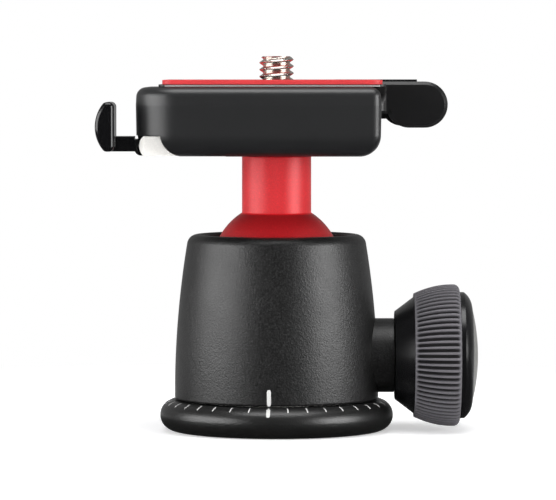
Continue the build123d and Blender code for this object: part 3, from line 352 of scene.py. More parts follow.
KNOB_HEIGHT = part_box("lock_plunger")[0].lerp(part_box("lock_plunger")[1], 0.5).z
SOCKET_RADIUS = 3.97 * MM
SOCKET_PITCH = 25.4 / 16 * MM
SOCKET_THREAD_DEPTH = 0.4 * MM
# painted shade in the socket thread's roots, as a share of the colour
SOCKET_THREAD_SHADE = 0.7
SKIN = 0.05 * MM  # how near to an outer face counts as on it
LATHE_PITCH = 0.1 * MM
LATHE_TONE, LATHE_GLOSS = (0.3, 0.85), (0.8, 0.6)  # swing and lowest value
# painted shade and added roughness in the grip's grooves, at full depth
GROOVE_SHADE, GROOVE_MATTNESS = -0.93, 0.6
PLATE_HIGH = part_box("qr_plate")[1]
RIM_TOP, RIM_HEIGHT = 0.12 * MM, 0.3 * MM  # below the plate's top
RIM_BRIGHTER = 32.0
# painted shade on the ball under the clamp: from the foot height up to the neck, shares of its red
# taken away
BALL_FOOT, BALL_NECK = 36.2 * MM, 39.7 * MM
BALL_SHADE_AT_FOOT, BALL_SHADE_AT_NECK = 0.25, 0.58
# painted shade and matt roughness on the knob's back face
BACK_SHADE, BACK_MATTER = -0.8, 3.0


def lathe_rings(tree):
    """Rings of the lathe round the knob's axis."""
    lines = tree.node("ShaderNodeGroup", node_tree=LINES)
    lines.inputs["Centre"].default_value = (0, 0, KNOB_HEIGHT)
    lines.inputs["Across"].default_value = (0, 1, 1)
    lines.inputs["Pitch"].default_value = LATHE_PITCH
    rings = lines.outputs["Lines"]
    tone = tree.math("MULTIPLY_ADD", rings, *LATHE_TONE)
    return tone, tree.math("MULTIPLY_ADD", rings, *LATHE_GLOSS), None


def painted_groove_shade(tree):
    """Painted shade and more roughness in the grip's grooves, from the depth that its mesh carries.
    """
    depth = tree.node("ShaderNodeAttribute", attribute_name="groove").outputs["Fac"]
    tone = tree.math("MULTIPLY_ADD", depth, GROOVE_SHADE, 1.0)
    return tone, tree.math("MULTIPLY_ADD", depth, GROOVE_MATTNESS, 1.0), None


def bright_rim(tree):
    """The plate's long upper rims, cut bare after the black coat."""
    place = tree.object_place()
    outward = tree.math("GREATER_THAN", tree.math("ABSOLUTE", place["Y"]), PLATE_HIGH.y - SKIN)
    middle = PLATE_HIGH.z - RIM_TOP - RIM_HEIGHT / 2
    upward = tree.math("COMPARE", place["Z"], middle, RIM_HEIGHT / 2)
    bare = tree.math("MULTIPLY", outward, upward)
    return tree.math("MULTIPLY_ADD", bare, RIM_BRIGHTER, 1.0), None, None


def painted_ball_shade(tree):
    """Painted shade under the clamp: the ball is painted darker than the stem, most round the
    neck's foot.
    """
    height = tree.object_place()["Z"]
    ball = tree.math("LESS_THAN", height, BALL_NECK)
    ball_shade = tree.map_range(height, BALL_FOOT, BALL_NECK, BALL_SHADE_AT_FOOT, BALL_SHADE_AT_NECK)
    return tree.math("SUBTRACT", 1.0, tree.math("MULTIPLY", ball_shade, ball)), None, None


def matt_shaded_back(tree):
    """The knob's turned back face, which is left matt, with painted shade for the gap it faces."""
    back = tree.math("LESS_THAN", tree.object_place()["X"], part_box("knob_core")[0].x + SKIN)
    tone = tree.math("MULTIPLY_ADD", back, BACK_SHADE, 1.0)
    return tone, tree.math("MULTIPLY_ADD", back, BACK_MATTER, 1.0), None


def socket_thread(tree):
    """A thread inside the tripod socket: a helix about +Z that ends at the bore's skin. Its roots
    have painted shade.
    """
    x, y, z = tree.object_place()
    squares = tree.math("ADD", tree.math("MULTIPLY", x, x), tree.math("MULTIPLY", y, y))
    turn = tree.math("DIVIDE", tree.math("ARCTAN2", y, x), TAU)
    phase = tree.math("FRACT", tree.math("SUBTRACT", tree.math("DIVIDE", z, SOCKET_PITCH), turn))
    tooth = tree.math("MULTIPLY", tree.math("ABSOLUTE", tree.math("SUBTRACT", phase, 0.5)), 2.0)
    inside = tree.math("LESS_THAN", tree.math("SQRT", squares), SOCKET_RADIUS + SKIN)
    depth = tree.math("MULTIPLY", tooth, inside)
    tone = tree.math("MULTIPLY_ADD", depth, -SOCKET_THREAD_SHADE, 1.0)
    return tone, None, tree.math("MULTIPLY", depth, -SOCKET_THREAD_DEPTH)


looks = {
    "black_anodised": dict(
        color=(0.0065, 0.0065, 0.0065),
        roughness=0.44,
        grain=0.00032,
        contrast=2.0,
        depth=0.00004,
        specular=0.7,
        painted_edge_highlight=0.8,
    ),
    "black_casting": dict(
        color=(0.0105, 0.0107, 0.0115),
        roughness=0.4,
        grain=0.0004,
        contrast=0.12,
        depth=0.0,
        specular=0.75,
        smudge=0.08,
    ),
    "black_base": dict(
        color=(0.006, 0.006, 0.0058),
        roughness=0.36,
        grain=0.0003,
        contrast=0.5,
        depth=0.00003,
        specular=0.75,
        painted_edge_highlight=0.8,
    ),
    "black_collar": dict(color=(0.006, 0.006, 0.0065), roughness=0.45, contrast=0.3),
    "black_plate": dict(
        color=(0.0093, 0.009, 0.0087),
        roughness=0.4,
        contrast=0.25,
        depth=0.000004,
        pattern=bright_rim,
    ),
    "black_lever": dict(
        color=(0.006, 0.006, 0.0065),
        roughness=0.32,
        grain=0.00025,
        contrast=0.2,
        depth=0.000002,
        painted_edge_highlight=1.0,
    ),
    "black_steel": dict(color=(0.02, 0.02, 0.02), roughness=0.35, metallic=0.6, contrast=0.2),
    "red_anodised": dict(
        color=(0.64, 0.014, 0.02),
        roughness=0.4,
        metallic=0.1,
        grain=0.0003,
        contrast=0.16,
        depth=0.000012,
        specular=0.6,
        # painted shade on the ball under the clamp
        pattern=painted_ball_shade,
    ),
    "bright_steel": dict(
        color=(0.52, 0.52, 0.53), roughness=0.25, metallic=1.0, contrast=0.1, depth=0.000002
    ),
    "spring_steel": dict(
        color=(0.38, 0.38, 0.4), roughness=0.22, metallic=1.0, contrast=0.1, depth=0.000001
    ),
    "nickel_screw": dict(
        color=(0.74, 0.7, 0.65),
        roughness=0.25,
        metallic=1.0,
        contrast=0.08,
        depth=0.000001,
        edge=0.00005,
    ),
    "brake_brass": dict(color=(0.62, 0.42, 0.16), roughness=0.3, metallic=1.0, contrast=0.12),
    "white_nylon": dict(
        color=(0.8, 0.785, 0.75), roughness=0.5, contrast=0.06, depth=0.000006, painted_edge_highlight=0.1
    ),
    "grey_acetal": dict(color=(0.35, 0.35, 0.36), roughness=0.4, contrast=0.1),
    "matte_grip": dict(
        color=(0.0065, 0.0065, 0.007),
        roughness=0.36,
        grain=0.0003,
        contrast=0.2,
        depth=0.000004,
        painted_edge_highlight=1.2,
        smudge=0.08,
    ),
    "gloss_latch": dict(
        color=(0.0035, 0.0035, 0.004),
        roughness=0.16,
        contrast=0.1,
        depth=0.0,
        smudge=0.2,
        painted_edge_highlight=0.3,
        edge=0.0003,
    ),
    "gloss_knob": dict(
        color=(0.005, 0.005, 0.0055),
        roughness=0.24,
        contrast=0.1,
        depth=0.0,
        smudge=0.2,
        painted_edge_highlight=0.8,
        pattern=matt_shaded_back,
    ),
    "knob_rubber": dict(
        color=(0.06, 0.057, 0.063),
        roughness=0.6,
        grain=0.0002,
        contrast=0.2,
        depth=0.000006,
        painted_edge_highlight=0.2,
    ),
    "red_rubber": dict(
        color=(0.6, 0.03, 0.035),
        roughness=0.5,
        grain=0.00025,
        contrast=0.12,
        depth=0.000006,
        painted_edge_highlight=0.15,
    ),
    "satin_disc": dict(
        color=(0.34, 0.34, 0.325),
        roughness=0.4,
        metallic=0.6,
        contrast=0.1,
        depth=0.000002,
        pattern=lathe_rings,
    ),
    "ribbed_rubber": dict(
        color=(0.13, 0.125, 0.137),
        roughness=0.55,
        grain=0.0002,
        contrast=0.15,
        depth=0.000004,
        painted_edge_highlight=0.0,
        specular=0.3,
        # painted shade in the grooves
        pattern=painted_groove_shade,
    ),
    "socket_steel": dict(
        color=(0.52, 0.52, 0.53),
        roughness=0.28,
        metallic=1.0,
        contrast=0.1,
        depth=0.000002,
        pattern=socket_thread,
    ),
    "white_print": dict(
        color=(0.62, 0.62, 0.61),
        roughness=0.5,
        grain=0.00012,
        contrast=0.12,
        depth=0.000004,
        painted_edge_highlight=0.0,
    ),
}
finishes = {name: finish_of(name, **look) for name, look in looks.items()}

slot_of = {
    "black_anodised": ("housing", "knob_bushing"),
    "black_base": ("pan_base",),
    "black_casting": ("clamp_body", "moving_jaw"),
    "black_collar": ("ball_collar",),
    "black_plate": ("qr_plate",),
    "black_lever": ("lever_arm",),
    "black_steel": (
        "spindle_screws",
        "collar_screws",
        "knob_washer",
        "grip_screws",
        "clamp_bolt",
        "bolt_washer",
        "lock_screw",
    ),
    "red_anodised": ("ball_stem",),
    "socket_steel": ("pan_spindle",),
    "bright_steel": ("lever_pin", "lever_washer", "latch_pin", "jaw_guides", "knob_nut"),
    "spring_steel": ("wave_washer", "retaining_ring", "jaw_springs", "latch_spring", "screw_clip"),
    "nickel_screw": ("camera_screw",),
    "brake_brass": ("lock_plunger",),
    "white_nylon": ("thrust_washer", "latch_bush"),
    "grey_acetal": ("ball_cup",),
    "matte_grip": ("lever_grip",),
    "gloss_latch": ("safety_latch",),
    "gloss_knob": ("knob_core", "knob_cap"),
    "knob_rubber": ("knob_grip",),
    "red_rubber": ("grip_pad",),
    "satin_disc": ("cap_disc",),
}
for slot, names in slot_of.items():
    for name in names:
        nodes[name].data.materials.clear()
        nodes[name].data.materials.append(finishes[slot])


# ---------------------------------------------------------------- growing trees


TOUCHING = 2e-6  # points nearer than this are joined


def ring_of_copies():
    """Copies of the seed mesh, turned about an axis through Centre, Count to a full turn."""
    built = Tree.geometry("ring_of_copies")
    count = built.size("Count", "NodeSocketInt", 12)
    axis = built.size("Axis", "NodeSocketVector", (0, 0, 1))
    centre = built.size("Centre", "NodeSocketVector", (0, 0, 0))
    start = built.size("Start Angle", "NodeSocketFloat", 0.0)
    material = built.size("Material", "NodeSocketMaterial")
    points = built.node(
        "GeometryNodeMeshLine", {"Count": count, "Start Location": centre, "Offset": (0, 0, 0)}
    ).outputs["Mesh"]
    at_centre = built.node(
        "GeometryNodeTransform",
        {"Geometry": built.start.outputs["Geometry"], "Translation": built.scaled(centre, -1.0)},
    )
    step = built.math("DIVIDE", TAU, count)
    angle = built.math("MULTIPLY_ADD", built.node("GeometryNodeInputIndex").outputs[0], step, start)
    turned = built.node(
        "FunctionNodeAxisAngleToRotation", {"Axis": axis, "Angle": angle}
    ).outputs[0]
    copies = built.node(
        "GeometryNodeInstanceOnPoints",
        {"Points": points, "Instance": at_centre.outputs[0], "Rotation": turned},
    ).outputs[0]
    solid = built.node("GeometryNodeRealizeInstances", copies).outputs[0]
    merged = built.node(
        "GeometryNodeMergeByDistance", {"Geometry": solid, "Distance": TOUCHING}
    ).outputs[0]
    return built.finish(
        built.node("GeometryNodeSetMaterial", {"Geometry": merged, "Material": material}).outputs[0]
    )


RING = ring_of_copies()


def grid_mesh(name, rows):
    """A mesh through rows of points, each row as long as the next."""
    mesh = bpy.data.meshes.new(name)
    width = len(rows[0])
    faces = []
    for r in range(len(rows) - 1):
        for c in range(width - 1):
            a, b = r * width + c, r * width + c + 1
            faces.append((a, b, b + width, a + width))
    mesh.from_pydata([p for row in rows for p in row], [], faces)
    mesh.polygons.foreach_set("use_smooth", [True] * len(mesh.polygons))
    mesh.update()
    return mesh


# ---------------------------------------------------------------- pan scale and index line

BASE_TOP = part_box("pan_base")[1].z
BASE_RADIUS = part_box("pan_base")[1].x
BASE_EDGE = 2.75 * MM
INDEX_TURN = math.radians(-4.2)  # the index line stands a little left of the front
PRINT_PROUD = 0.015 * MM
PRINT_STEPS = 8  # along a mark
PRINT_END_WIDTH, PRINT_END_RISE = 0.55, 0.2  # shares of the full width and rise at a mark's ends
# a mark's section: shares of its half width, with 1 above the skin and -1 below it
PRINT_SECTION = ((-1.0, -1.0), (-0.85, 1.0), (0.0, 1.0), (0.85, 1.0), (1.0, -1.0))
TICK_COUNT, TICK_HALF_WIDTH = 36, 0.125 * MM
TICK_FROM, TICK_TO = 12.5, 44  # degrees from straight up, on the base's edge
MAIN_FROM, MAIN_TO, MAIN_HALF_WIDTH = 20, 64, 0.37 * MM
# radius and height in mm
HOUSING_FOOT, HOUSING_MIDDLE, HOUSING_RIM = (18.7, 5.8), (18.1, 20.875), (16.15, 35.95)
INDEX_LOW, INDEX_HIGH = 5.85, 8.8  # mm
INDEX_HALF_WIDTH = 0.39 * MM


def print_strip(name, line, half_width):
    """A thin raised mark bent round +Z, along a line of (radius, height, outward normal)."""
    rows = []
    last = len(line) - 1
    for i, (radius, height, out) in enumerate(line):
        narrow = PRINT_END_WIDTH if i in (0, last) else 1.0
        row = []
        for across, lift in PRINT_SECTION:
            turn = across * half_width * narrow / radius
            proud = PRINT_PROUD * lift * (PRINT_END_RISE if i in (0, last) and lift > 0 else 1.0)
            r, z = radius + out[0] * proud, height + out[1] * proud
            row.append((-r * math.sin(turn), -r * math.cos(turn), z))
        rows.append(row)
    return grid_mesh(name, rows)


def base_edge_line(first_deg, last_deg):
    """Points down the base's rounded upper edge, by their angle from straight up."""
    line = []
    for i in range(PRINT_STEPS + 1):
        angle = math.radians(first_deg + (last_deg - first_deg) * i / PRINT_STEPS)
        out = (math.sin(angle), math.cos(angle))
        radius = BASE_RADIUS - BASE_EDGE + BASE_EDGE * out[0]
        line.append((radius, BASE_TOP - BASE_EDGE + BASE_EDGE * out[1], out))
    return line


def printed(name, mark, body, count=1):
    """A white mark, or a full turn of them, that starts at the index."""
    sizes = {"Count": count, "Axis": (0, 0, 1), "Centre": (0, 0, 0), "Start Angle": INDEX_TURN}
    grown(name, RING, finishes["white_print"], body, sizes, mark)


tick = print_strip("tick", base_edge_line(TICK_FROM, TICK_TO), TICK_HALF_WIDTH)
printed("pan_ticks", tick, "base", TICK_COUNT)
main_mark = print_strip("main_mark", base_edge_line(MAIN_FROM, MAIN_TO), MAIN_HALF_WIDTH)
printed("pan_main_mark", main_mark, "base")


def housing_radius(height):
    """Outer radius of the housing: the circle through its foot, middle and rim."""
    (r0, z0), (r1, z1), (r2, z2) = HOUSING_FOOT, HOUSING_MIDDLE, HOUSING_RIM
    d = 2 * (r0 * (z1 - z2) + r1 * (z2 - z0) + r2 * (z0 - z1))
    s0, s1, s2 = r0 * r0 + z0 * z0, r1 * r1 + z1 * z1, r2 * r2 + z2 * z2
    cr = (s0 * (z1 - z2) + s1 * (z2 - z0) + s2 * (z0 - z1)) / d
    cz = (s0 * (r2 - r1) + s1 * (r0 - r2) + s2 * (r1 - r0)) / d
    reach = math.hypot(r0 - cr, z0 - cz)
    z = height / MM
    r = cr + math.sqrt(reach * reach - (z - cz) ** 2)
    return r * MM, ((r - cr) / reach, (z - cz) / reach)


index_line = []
for i in range(PRINT_STEPS + 1):
    z = (INDEX_LOW + (INDEX_HIGH - INDEX_LOW) * i / PRINT_STEPS) * MM
    r, out = housing_radius(z)
    index_line.append((r, z, out))
printed("index_line", print_strip("index_mark", index_line, INDEX_HALF_WIDTH), "housing")


# ---------------------------------------------------------------- ribbed knob grip

grip_low, grip_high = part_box("knob_grip")
GRIP_START, GRIP_END = grip_low.x, grip_high.x
GRIP_SMALL, GRIP_MIDDLE, GRIP_LARGE = 11.35 * MM, 12.75 * MM, 12.95 * MM
GRIP_BORE, GRIP_EDGE = 9.4 * MM, 1.1 * MM
CROWN_STEPS, EDGE_STEPS = 22, 10
GROOVE_COUNT = 75
GROOVE_START = 0.0092  # radians from +Z to the first groove
GROOVE_DEPTH = 0.5 * MM
GROOVE_HALF_WIDTH = 0.36 * MM
GROOVE_SIDE = 0.13 * MM
GROOVE_BACK = 0.22 * MM  # smooth ring left at the back
GROOVE_FRONT = 0.75 * MM  # smooth ring left round the front edge
HALF_SECTOR = (0.12, 0.22, 0.27, 0.31, 0.35, 0.41, 0.5)  # shares of a groove's pitch


def grip_outline():
    """Points (x, radius, outward normal, distance) over the crown and round the front edge."""
    middle, half = (GRIP_START + GRIP_END) / 2, (GRIP_END - GRIP_START) / 2
    mean, tilt = (GRIP_LARGE + GRIP_SMALL) / 2, (GRIP_LARGE - GRIP_SMALL) / 2
    bow = GRIP_MIDDLE - mean
    line = []
    edge_x = GRIP_END - GRIP_EDGE
    for i in range(CROWN_STEPS + 1):
        u = i / CROWN_STEPS
        x = GRIP_START + (edge_x - GRIP_START) * (
            0.5 - 0.5 * math.cos(math.pi * u) if u < 0.5 else u
        )
        s = (x - middle) / half
        slope = (tilt - 2 * bow * s) / half
        out = Vector((-slope, 1.0)).normalized()
        line.append((x, mean + tilt * s + bow * (1 - s * s), out))
    x0, r0, out0 = line[-1]
    centre = Vector((x0, r0)) - GRIP_EDGE * out0
    first = math.atan2(out0.x, out0.y)
    for i in range(1, EDGE_STEPS + 1):
        turn = first + (math.pi / 2 - first) * i / EDGE_STEPS
        out = Vector((math.sin(turn), math.cos(turn)))
        spot = centre + GRIP_EDGE * out
        line.append((min(spot.x, GRIP_END), spot.y, out))
    travelled, outline = 0.0, []
    for i, (x, radius, out) in enumerate(line):
        if i:
            travelled += math.hypot(x - line[i - 1][0], radius - line[i - 1][1])
        outline.append((x, radius, out, travelled))
    return outline


def groove_depth(along, across, whole):
    """Depth, from 0 to 1, of a groove with round ends."""
    first = GROOVE_BACK + GROOVE_HALF_WIDTH
    last = whole - GROOVE_FRONT - GROOVE_HALF_WIDTH
    beyond = max(first - along, 0.0, along - last)
    inside = (GROOVE_HALF_WIDTH - math.hypot(beyond, across)) / GROOVE_SIDE
    inside = min(max(inside, 0.0), 1.0)
    return inside * inside * (3 - 2 * inside)


def grip_sector():
    """One groove's share of the grip's skin, from the bore's back end round to its front end."""
    shares = (*(-share for share in reversed(HALF_SECTOR)), 0, *HALF_SECTOR)
    outline = grip_outline()
    whole = outline[-1][3]
    rows, depths = [], []

    def row(x, radius, out=None, along=None):
        points = []
        for t in shares:
            angle = t * TAU / GROOVE_COUNT
            depth = groove_depth(along, angle * radius, whole) if out is not None else 0.0
            px, r = x, radius
            if depth:
                px, r = x - out.x * depth * GROOVE_DEPTH, radius - out.y * depth * GROOVE_DEPTH
            points.append((px, r * math.sin(angle), KNOB_HEIGHT + r * math.cos(angle)))
            depths.append(depth)
        rows.append(points)

    row(GRIP_START, GRIP_BORE)
    for x, radius, out, along in outline:
        row(x, radius, out, along)
    row(GRIP_END, (outline[-1][1] + GRIP_BORE) / 2)
    row(GRIP_END, GRIP_BORE)
    mesh = grid_mesh("grip_sector", rows)
    mesh.attributes.new("groove", "FLOAT", "POINT").data.foreach_set("value", depths)
    return mesh


ribbed = grown(
    "ribbed_grip",
    RING,
    finishes["ribbed_rubber"],
    "knob",
    {
        "Count": GROOVE_COUNT,
        "Axis": (1, 0, 0),
        "Centre": (0, 0, KNOB_HEIGHT),
        "Start Angle": GROOVE_START,
    },
    grip_sector(),
)
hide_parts("knob_grip")


# ---------------------------------------------------------------- camera screw

SCREW_PITCH = 1.27 * MM
SCREW_MAJOR = 3.175 * MM
SCREW_DEPTH = 0.74 * MM
screw_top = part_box("camera_screw")[1].z
SCREW_THREAD_FROM = 64.0 * MM
THREAD_TURN = 1.95  # radians that the crests are turned by, as seen from the front
THREAD_CREST, THREAD_ROOT = 0.12, 0.88  # where the flank ends, as shares of half a pitch
THREAD_CHAMFER = 0.6 * MM
THREAD_SIDES = 64
ROWS_PER_PITCH = 8


def thread():
    """A screw thread about Z as a sheared grid that is trimmed flat at both ends."""
    built = Tree.geometry("thread")
    major = built.size("Major Radius", "NodeSocketFloat")
    depth = built.size("Depth", "NodeSocketFloat")
    pitch = built.size("Pitch", "NodeSocketFloat")
    low = built.size("Bottom", "NodeSocketFloat")
    high = built.size("Top", "NodeSocketFloat")
    chamfer = built.size("Chamfer", "NodeSocketFloat")
    around = built.size("Sides", "NodeSocketInt", THREAD_SIDES)
    steps = built.size("Steps", "NodeSocketInt", 60)
    material = built.size("Material", "NodeSocketMaterial")
    grid = built.node(
        "GeometryNodeMeshGrid",
        {
            "Vertices X": built.math("ADD", around, 1.0),
            "Vertices Y": built.math("ADD", steps, 1.0),
            "Size X": 1.0,
            "Size Y": 1.0,
        },
    )
    place = built.node("GeometryNodeInputPosition").outputs[0]
    parts = built.node("ShaderNodeSeparateXYZ", place)
    u = built.math("ADD", parts.outputs["X"], 0.5)
    v = built.math("ADD", parts.outputs["Y"], 0.5)
    # one pitch more than the length, because the grid is sheared
    run = built.math(
        "MULTIPLY", built.math("MULTIPLY", v, steps), built.math("DIVIDE", pitch, ROWS_PER_PITCH)
    )
    rise = built.math(
        "ADD", built.math("SUBTRACT", low, pitch), built.math("MULTIPLY_ADD", u, pitch, run)
    )
    phase = built.math("FRACT", built.math("DIVIDE", run, pitch))
    tooth = built.math("MULTIPLY", built.math("ABSOLUTE", built.math("SUBTRACT", phase, 0.5)), 2.0)
    flank = built.map_range(tooth, THREAD_CREST, THREAD_ROOT)
    radius = built.math("SUBTRACT", major, built.math("MULTIPLY", flank, depth))
    height = built.math("MINIMUM", built.math("MAXIMUM", rise, low), high)
    bevel = built.math(
        "ADD", built.math("SUBTRACT", major, chamfer), built.math("SUBTRACT", high, height)
    )
    radius = built.math("MINIMUM", radius, bevel)
    angle = built.math("MULTIPLY_ADD", u, TAU, THREAD_TURN)
    x = built.math("MULTIPLY", built.math("COSINE", angle), radius)
    y = built.math("MULTIPLY", built.math("SINE", angle), radius)
    spot = built.node("ShaderNodeCombineXYZ", x, y, height)
    shaped = built.node(
        "GeometryNodeSetPosition", {"Geometry": grid.outputs["Mesh"], "Position": spot.outputs[0]}
    ).outputs[0]
    lift = built.node("ShaderNodeCombineXYZ", 0.0, 0.0, high)
    cap = built.node(
        "GeometryNodeMeshCircle",
        {"Vertices": around, "Radius": built.math("SUBTRACT", major, depth)},
        fill_type="NGON",
    ).outputs[0]
    cap = built.node(
        "GeometryNodeTransform", {"Geometry": cap, "Translation": lift.outputs[0]}
    ).outputs[0]
    joined = built.node("GeometryNodeJoinGeometry")
    for part in (shaped, cap, built.start.outputs["Geometry"]):
        built.tree.links.new(part, joined.inputs[0])
    merged = built.node(
        "GeometryNodeMergeByDistance", {"Geometry": joined.outputs[0], "Distance": TOUCHING}
    ).outputs[0]
    solid = built.node("GeometryNodeRealizeInstances", merged).outputs[0]
    return built.finish(
        built.node("GeometryNodeSetMaterial", {"Geometry": solid, "Material": material}).outputs[0]
    )


THREAD = thread()


def merged_copy(name, node):
    """A copy of a CAD node's mesh with its loose triangles joined."""
    mesh = nodes[node].data.copy()
    mesh.name = name
    work = bmesh.new()
    work.from_mesh(mesh)
    bmesh.ops.remove_doubles(work, verts=work.verts, dist=TOUCHING / 2)
    return mesh, work


def row_of_copies():
    """Copies of the seed mesh along a line."""
    built = Tree.geometry("row_of_copies")
    count = built.size("Count", "NodeSocketInt", 2)
    start = built.size("Start", "NodeSocketVector", (0, 0, 0))
    offset = built.size("Offset", "NodeSocketVector", (0, 0, 0))
    material = built.size("Material", "NodeSocketMaterial")
    points = built.node(
        "GeometryNodeMeshLine", {"Count": count, "Start Location": start, "Offset": offset}
    ).outputs["Mesh"]
    copies = built.node(
        "GeometryNodeInstanceOnPoints",
        {"Points": points, "Instance": built.start.outputs["Geometry"]},
    ).outputs[0]
    solid = built.node("GeometryNodeRealizeInstances", copies).outputs[0]
    return built.finish(
        built.node("GeometryNodeSetMaterial", {"Geometry": solid, "Material": material}).outputs[0]
    )


ROW = row_of_copies()


def prism(name, outline, bottom, top, place):
    """A closed prism over an outline in the XY plane. place moves each of its points."""
    count = len(outline)
    points = [place(x, y, z) for z in (bottom, top) for x, y in outline]
    sides = [(i, (i + 1) % count, count + (i + 1) % count, count + i) for i in range(count)]
    mesh = bpy.data.meshes.new(name)
    mesh.from_pydata(
        points, [], [tuple(range(count))[::-1], tuple(range(count, 2 * count)), *sides]
    )
    work = bmesh.new()
    work.from_mesh(mesh)
    bmesh.ops.recalc_face_normals(work, faces=work.faces)
    work.to_mesh(mesh)
    work.free()
    return mesh


SOFT_SEGMENTS, SOFT_ANGLE = 4, math.radians(60)


def carved(name, node, cutters, material, body, soften=0.0, smooth_deg=35):
    """A CAD node's shape with softened edges, less its cutters of (tree, sizes, seed) each."""
    mesh, work = merged_copy(name, node)
    work.to_mesh(mesh)
    work.free()
    made = new_object(name, mesh)
    if soften:
        softer = made.modifiers.new("soften", "BEVEL")
        softer.width, softer.segments = soften, SOFT_SEGMENTS
        softer.limit_method, softer.angle_limit = "ANGLE", SOFT_ANGLE
    tools = []
    for tree, sizes, seed in cutters:
        tool = new_object(name + "_tool", seed)
        add_tree(tool, tree, sizes, material)
        carve = made.modifiers.new("carve", "BOOLEAN")
        carve.operation, carve.object, carve.solver = "DIFFERENCE", tool, "EXACT"
        tools.append(tool)
    plain = evaluated_mesh(made)
    made.modifiers.clear()
    made.data = plain
    for tool in tools:
        bpy.data.objects.remove(tool)
    plain.materials.clear()
    plain.materials.append(material)
    plain.polygons.foreach_set("material_index", [0] * len(plain.polygons))
    plain.polygons.foreach_set("use_smooth", [True] * len(plain.polygons))
    plain.set_sharp_from_angle(angle=math.radians(smooth_deg))
    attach(made, body)
    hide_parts(node)
    return made


def regular(sides, across_flats):
    """Corners of a regular outline by its width across flats."""
    reach = across_flats / 2 / math.cos(math.pi / sides)
    turns = [TAU * i / sides for i in range(sides)]
    return [(reach * math.cos(turn), reach * math.sin(turn)) for turn in turns]


SPINDLE_SCREW_CIRCLE = 9.7 * MM
SPINDLE_SOCKET, SPINDLE_SOCKET_DEPTH = 2.5 * MM, 1.3 * MM
SINK = 0.2 * MM  # how far a cutter starts outside the skin
hexagon = prism(
    "hexagon", regular(6, SPINDLE_SOCKET), -SINK, SPINDLE_SOCKET_DEPTH,
    lambda x, y, z: (SPINDLE_SCREW_CIRCLE + x, y, z),
)
carved(
    "socketed_spindle_screws", "spindle_screws",
    [(RING, {"Count": 3, "Axis": (0, 0, 1), "Centre": (0, 0, 0), "Start Angle": 0.0}, hexagon)],
    finishes["black_steel"], "base",
)

GRIP_SCREW_X, GRIP_SCREW_PITCH, GRIP_SCREW_Z = 17.8 * MM, 8.75 * MM, 60.54 * MM
CROSS_ARM, CROSS_HALF_WIDTH, CROSS_DEPTH = 1.05 * MM, 0.22 * MM, 0.6 * MM
screws_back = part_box("grip_screws")[1].y
a, b = CROSS_ARM, CROSS_HALF_WIDTH
cross_outline = [
    (a, -b), (a, b), (b, b), (b, a), (-b, a), (-b, b),
    (-a, b), (-a, -b), (-b, -b), (-b, -a), (b, -a), (b, -b),
]
cross = prism(
    "cross", cross_outline,
    screws_back - CROSS_DEPTH, screws_back + SINK, lambda x, y, z: (x, z, y),
)
carved(
    "crossed_grip_screws", "grip_screws",
    [
        (
            ROW,
            {
                "Count": 2,
                "Start": (GRIP_SCREW_X, 0, GRIP_SCREW_Z),
                "Offset": (GRIP_SCREW_PITCH, 0, 0),
            },
            cross,
        )
    ],
    finishes["black_steel"], "lever",
)


# ---------------------------------------------------------------- plate's rubber pad

PAD_LOW, PAD_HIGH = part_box("grip_pad")
PAD_SOFT = 0.34 * MM
PAD_SMOOTH_DEG = 18
PAD_MARGIN = 1.6 * MM  # plain border round the channels
CHANNEL_PITCH, CHANNEL_WIDTH, CHANNEL_DEPTH = 1.9 * MM, 1.0 * MM, 0.3 * MM
PAD_RING = 6.2 * MM  # plain ring round the screw's hole


def channel(name, left, right):
    """One channel along X on the pad's top face, centred on Y = 0, as a cutter."""
    half = CHANNEL_WIDTH / 2
    outline = [(left, -half), (right, -half), (right, half), (left, half)]
    return prism(
        name, outline, PAD_HIGH.z - CHANNEL_DEPTH, PAD_HIGH.z + SINK, lambda x, y, z: (x, y, z)
    )


pad_left, pad_right = PAD_LOW.x + PAD_MARGIN, PAD_HIGH.x - PAD_MARGIN
inner = int(PAD_RING / CHANNEL_PITCH)  # channels on each side of the middle one that meet the ring
outer = int((PAD_HIGH.y - PAD_MARGIN) / CHANNEL_PITCH) - inner
outer_start = (inner + 1) * CHANNEL_PITCH


def row_of_channels(name, count, first, step, left, right):
    """Channels that stand in a row along Y, as a cutter."""
    sizes = {"Count": count, "Start": (0, first, 0), "Offset": (0, step, 0)}
    return ROW, sizes, channel(name, left, right)


beside = (2 * inner + 1, -inner * CHANNEL_PITCH, CHANNEL_PITCH)
rows_of_channels = [
    row_of_channels("channel_rear", outer, outer_start, CHANNEL_PITCH, pad_left, pad_right),
    row_of_channels("channel_fore", outer, -outer_start, -CHANNEL_PITCH, pad_left, pad_right),
    row_of_channels("channel_left", *beside, pad_left, -PAD_RING),
    row_of_channels("channel_right", *beside, PAD_RING, pad_right),
]
carved(
    "ribbed_pad",
    "grip_pad",
    rows_of_channels,
    finishes["red_rubber"],
    "plate",
    soften=PAD_SOFT,
    smooth_deg=PAD_SMOOTH_DEG,
)


# ---------------------------------------------------------------- thread of the camera screw

head_mesh, head = merged_copy("screw_head", "camera_screw")
cut = bmesh.ops.bisect_plane(
    head, geom=head.verts[:] + head.edges[:] + head.faces[:],
    plane_co=(0, 0, SCREW_THREAD_FROM), plane_no=(0, 0, 1), clear_outer=True,
)
bmesh.ops.holes_fill(head, edges=[e for e in cut["geom_cut"] if isinstance(e, bmesh.types.BMEdge)])
head.to_mesh(head_mesh)
head.free()
head_mesh.materials.clear()
thread_length = screw_top - SCREW_THREAD_FROM
threaded = grown(
    "threaded_screw", THREAD, finishes["nickel_screw"], "screw",
    {
        "Major Radius": SCREW_MAJOR, "Depth": SCREW_DEPTH, "Pitch": SCREW_PITCH,
        "Bottom": SCREW_THREAD_FROM, "Top": screw_top, "Chamfer": THREAD_CHAMFER,
        "Sides": THREAD_SIDES, "Steps": int(ROWS_PER_PITCH * (thread_length / SCREW_PITCH + 1)) + 2,
    },
    head_mesh,
)
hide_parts("camera_screw")


# ---------------------------------------------------------------- stage, light and camera

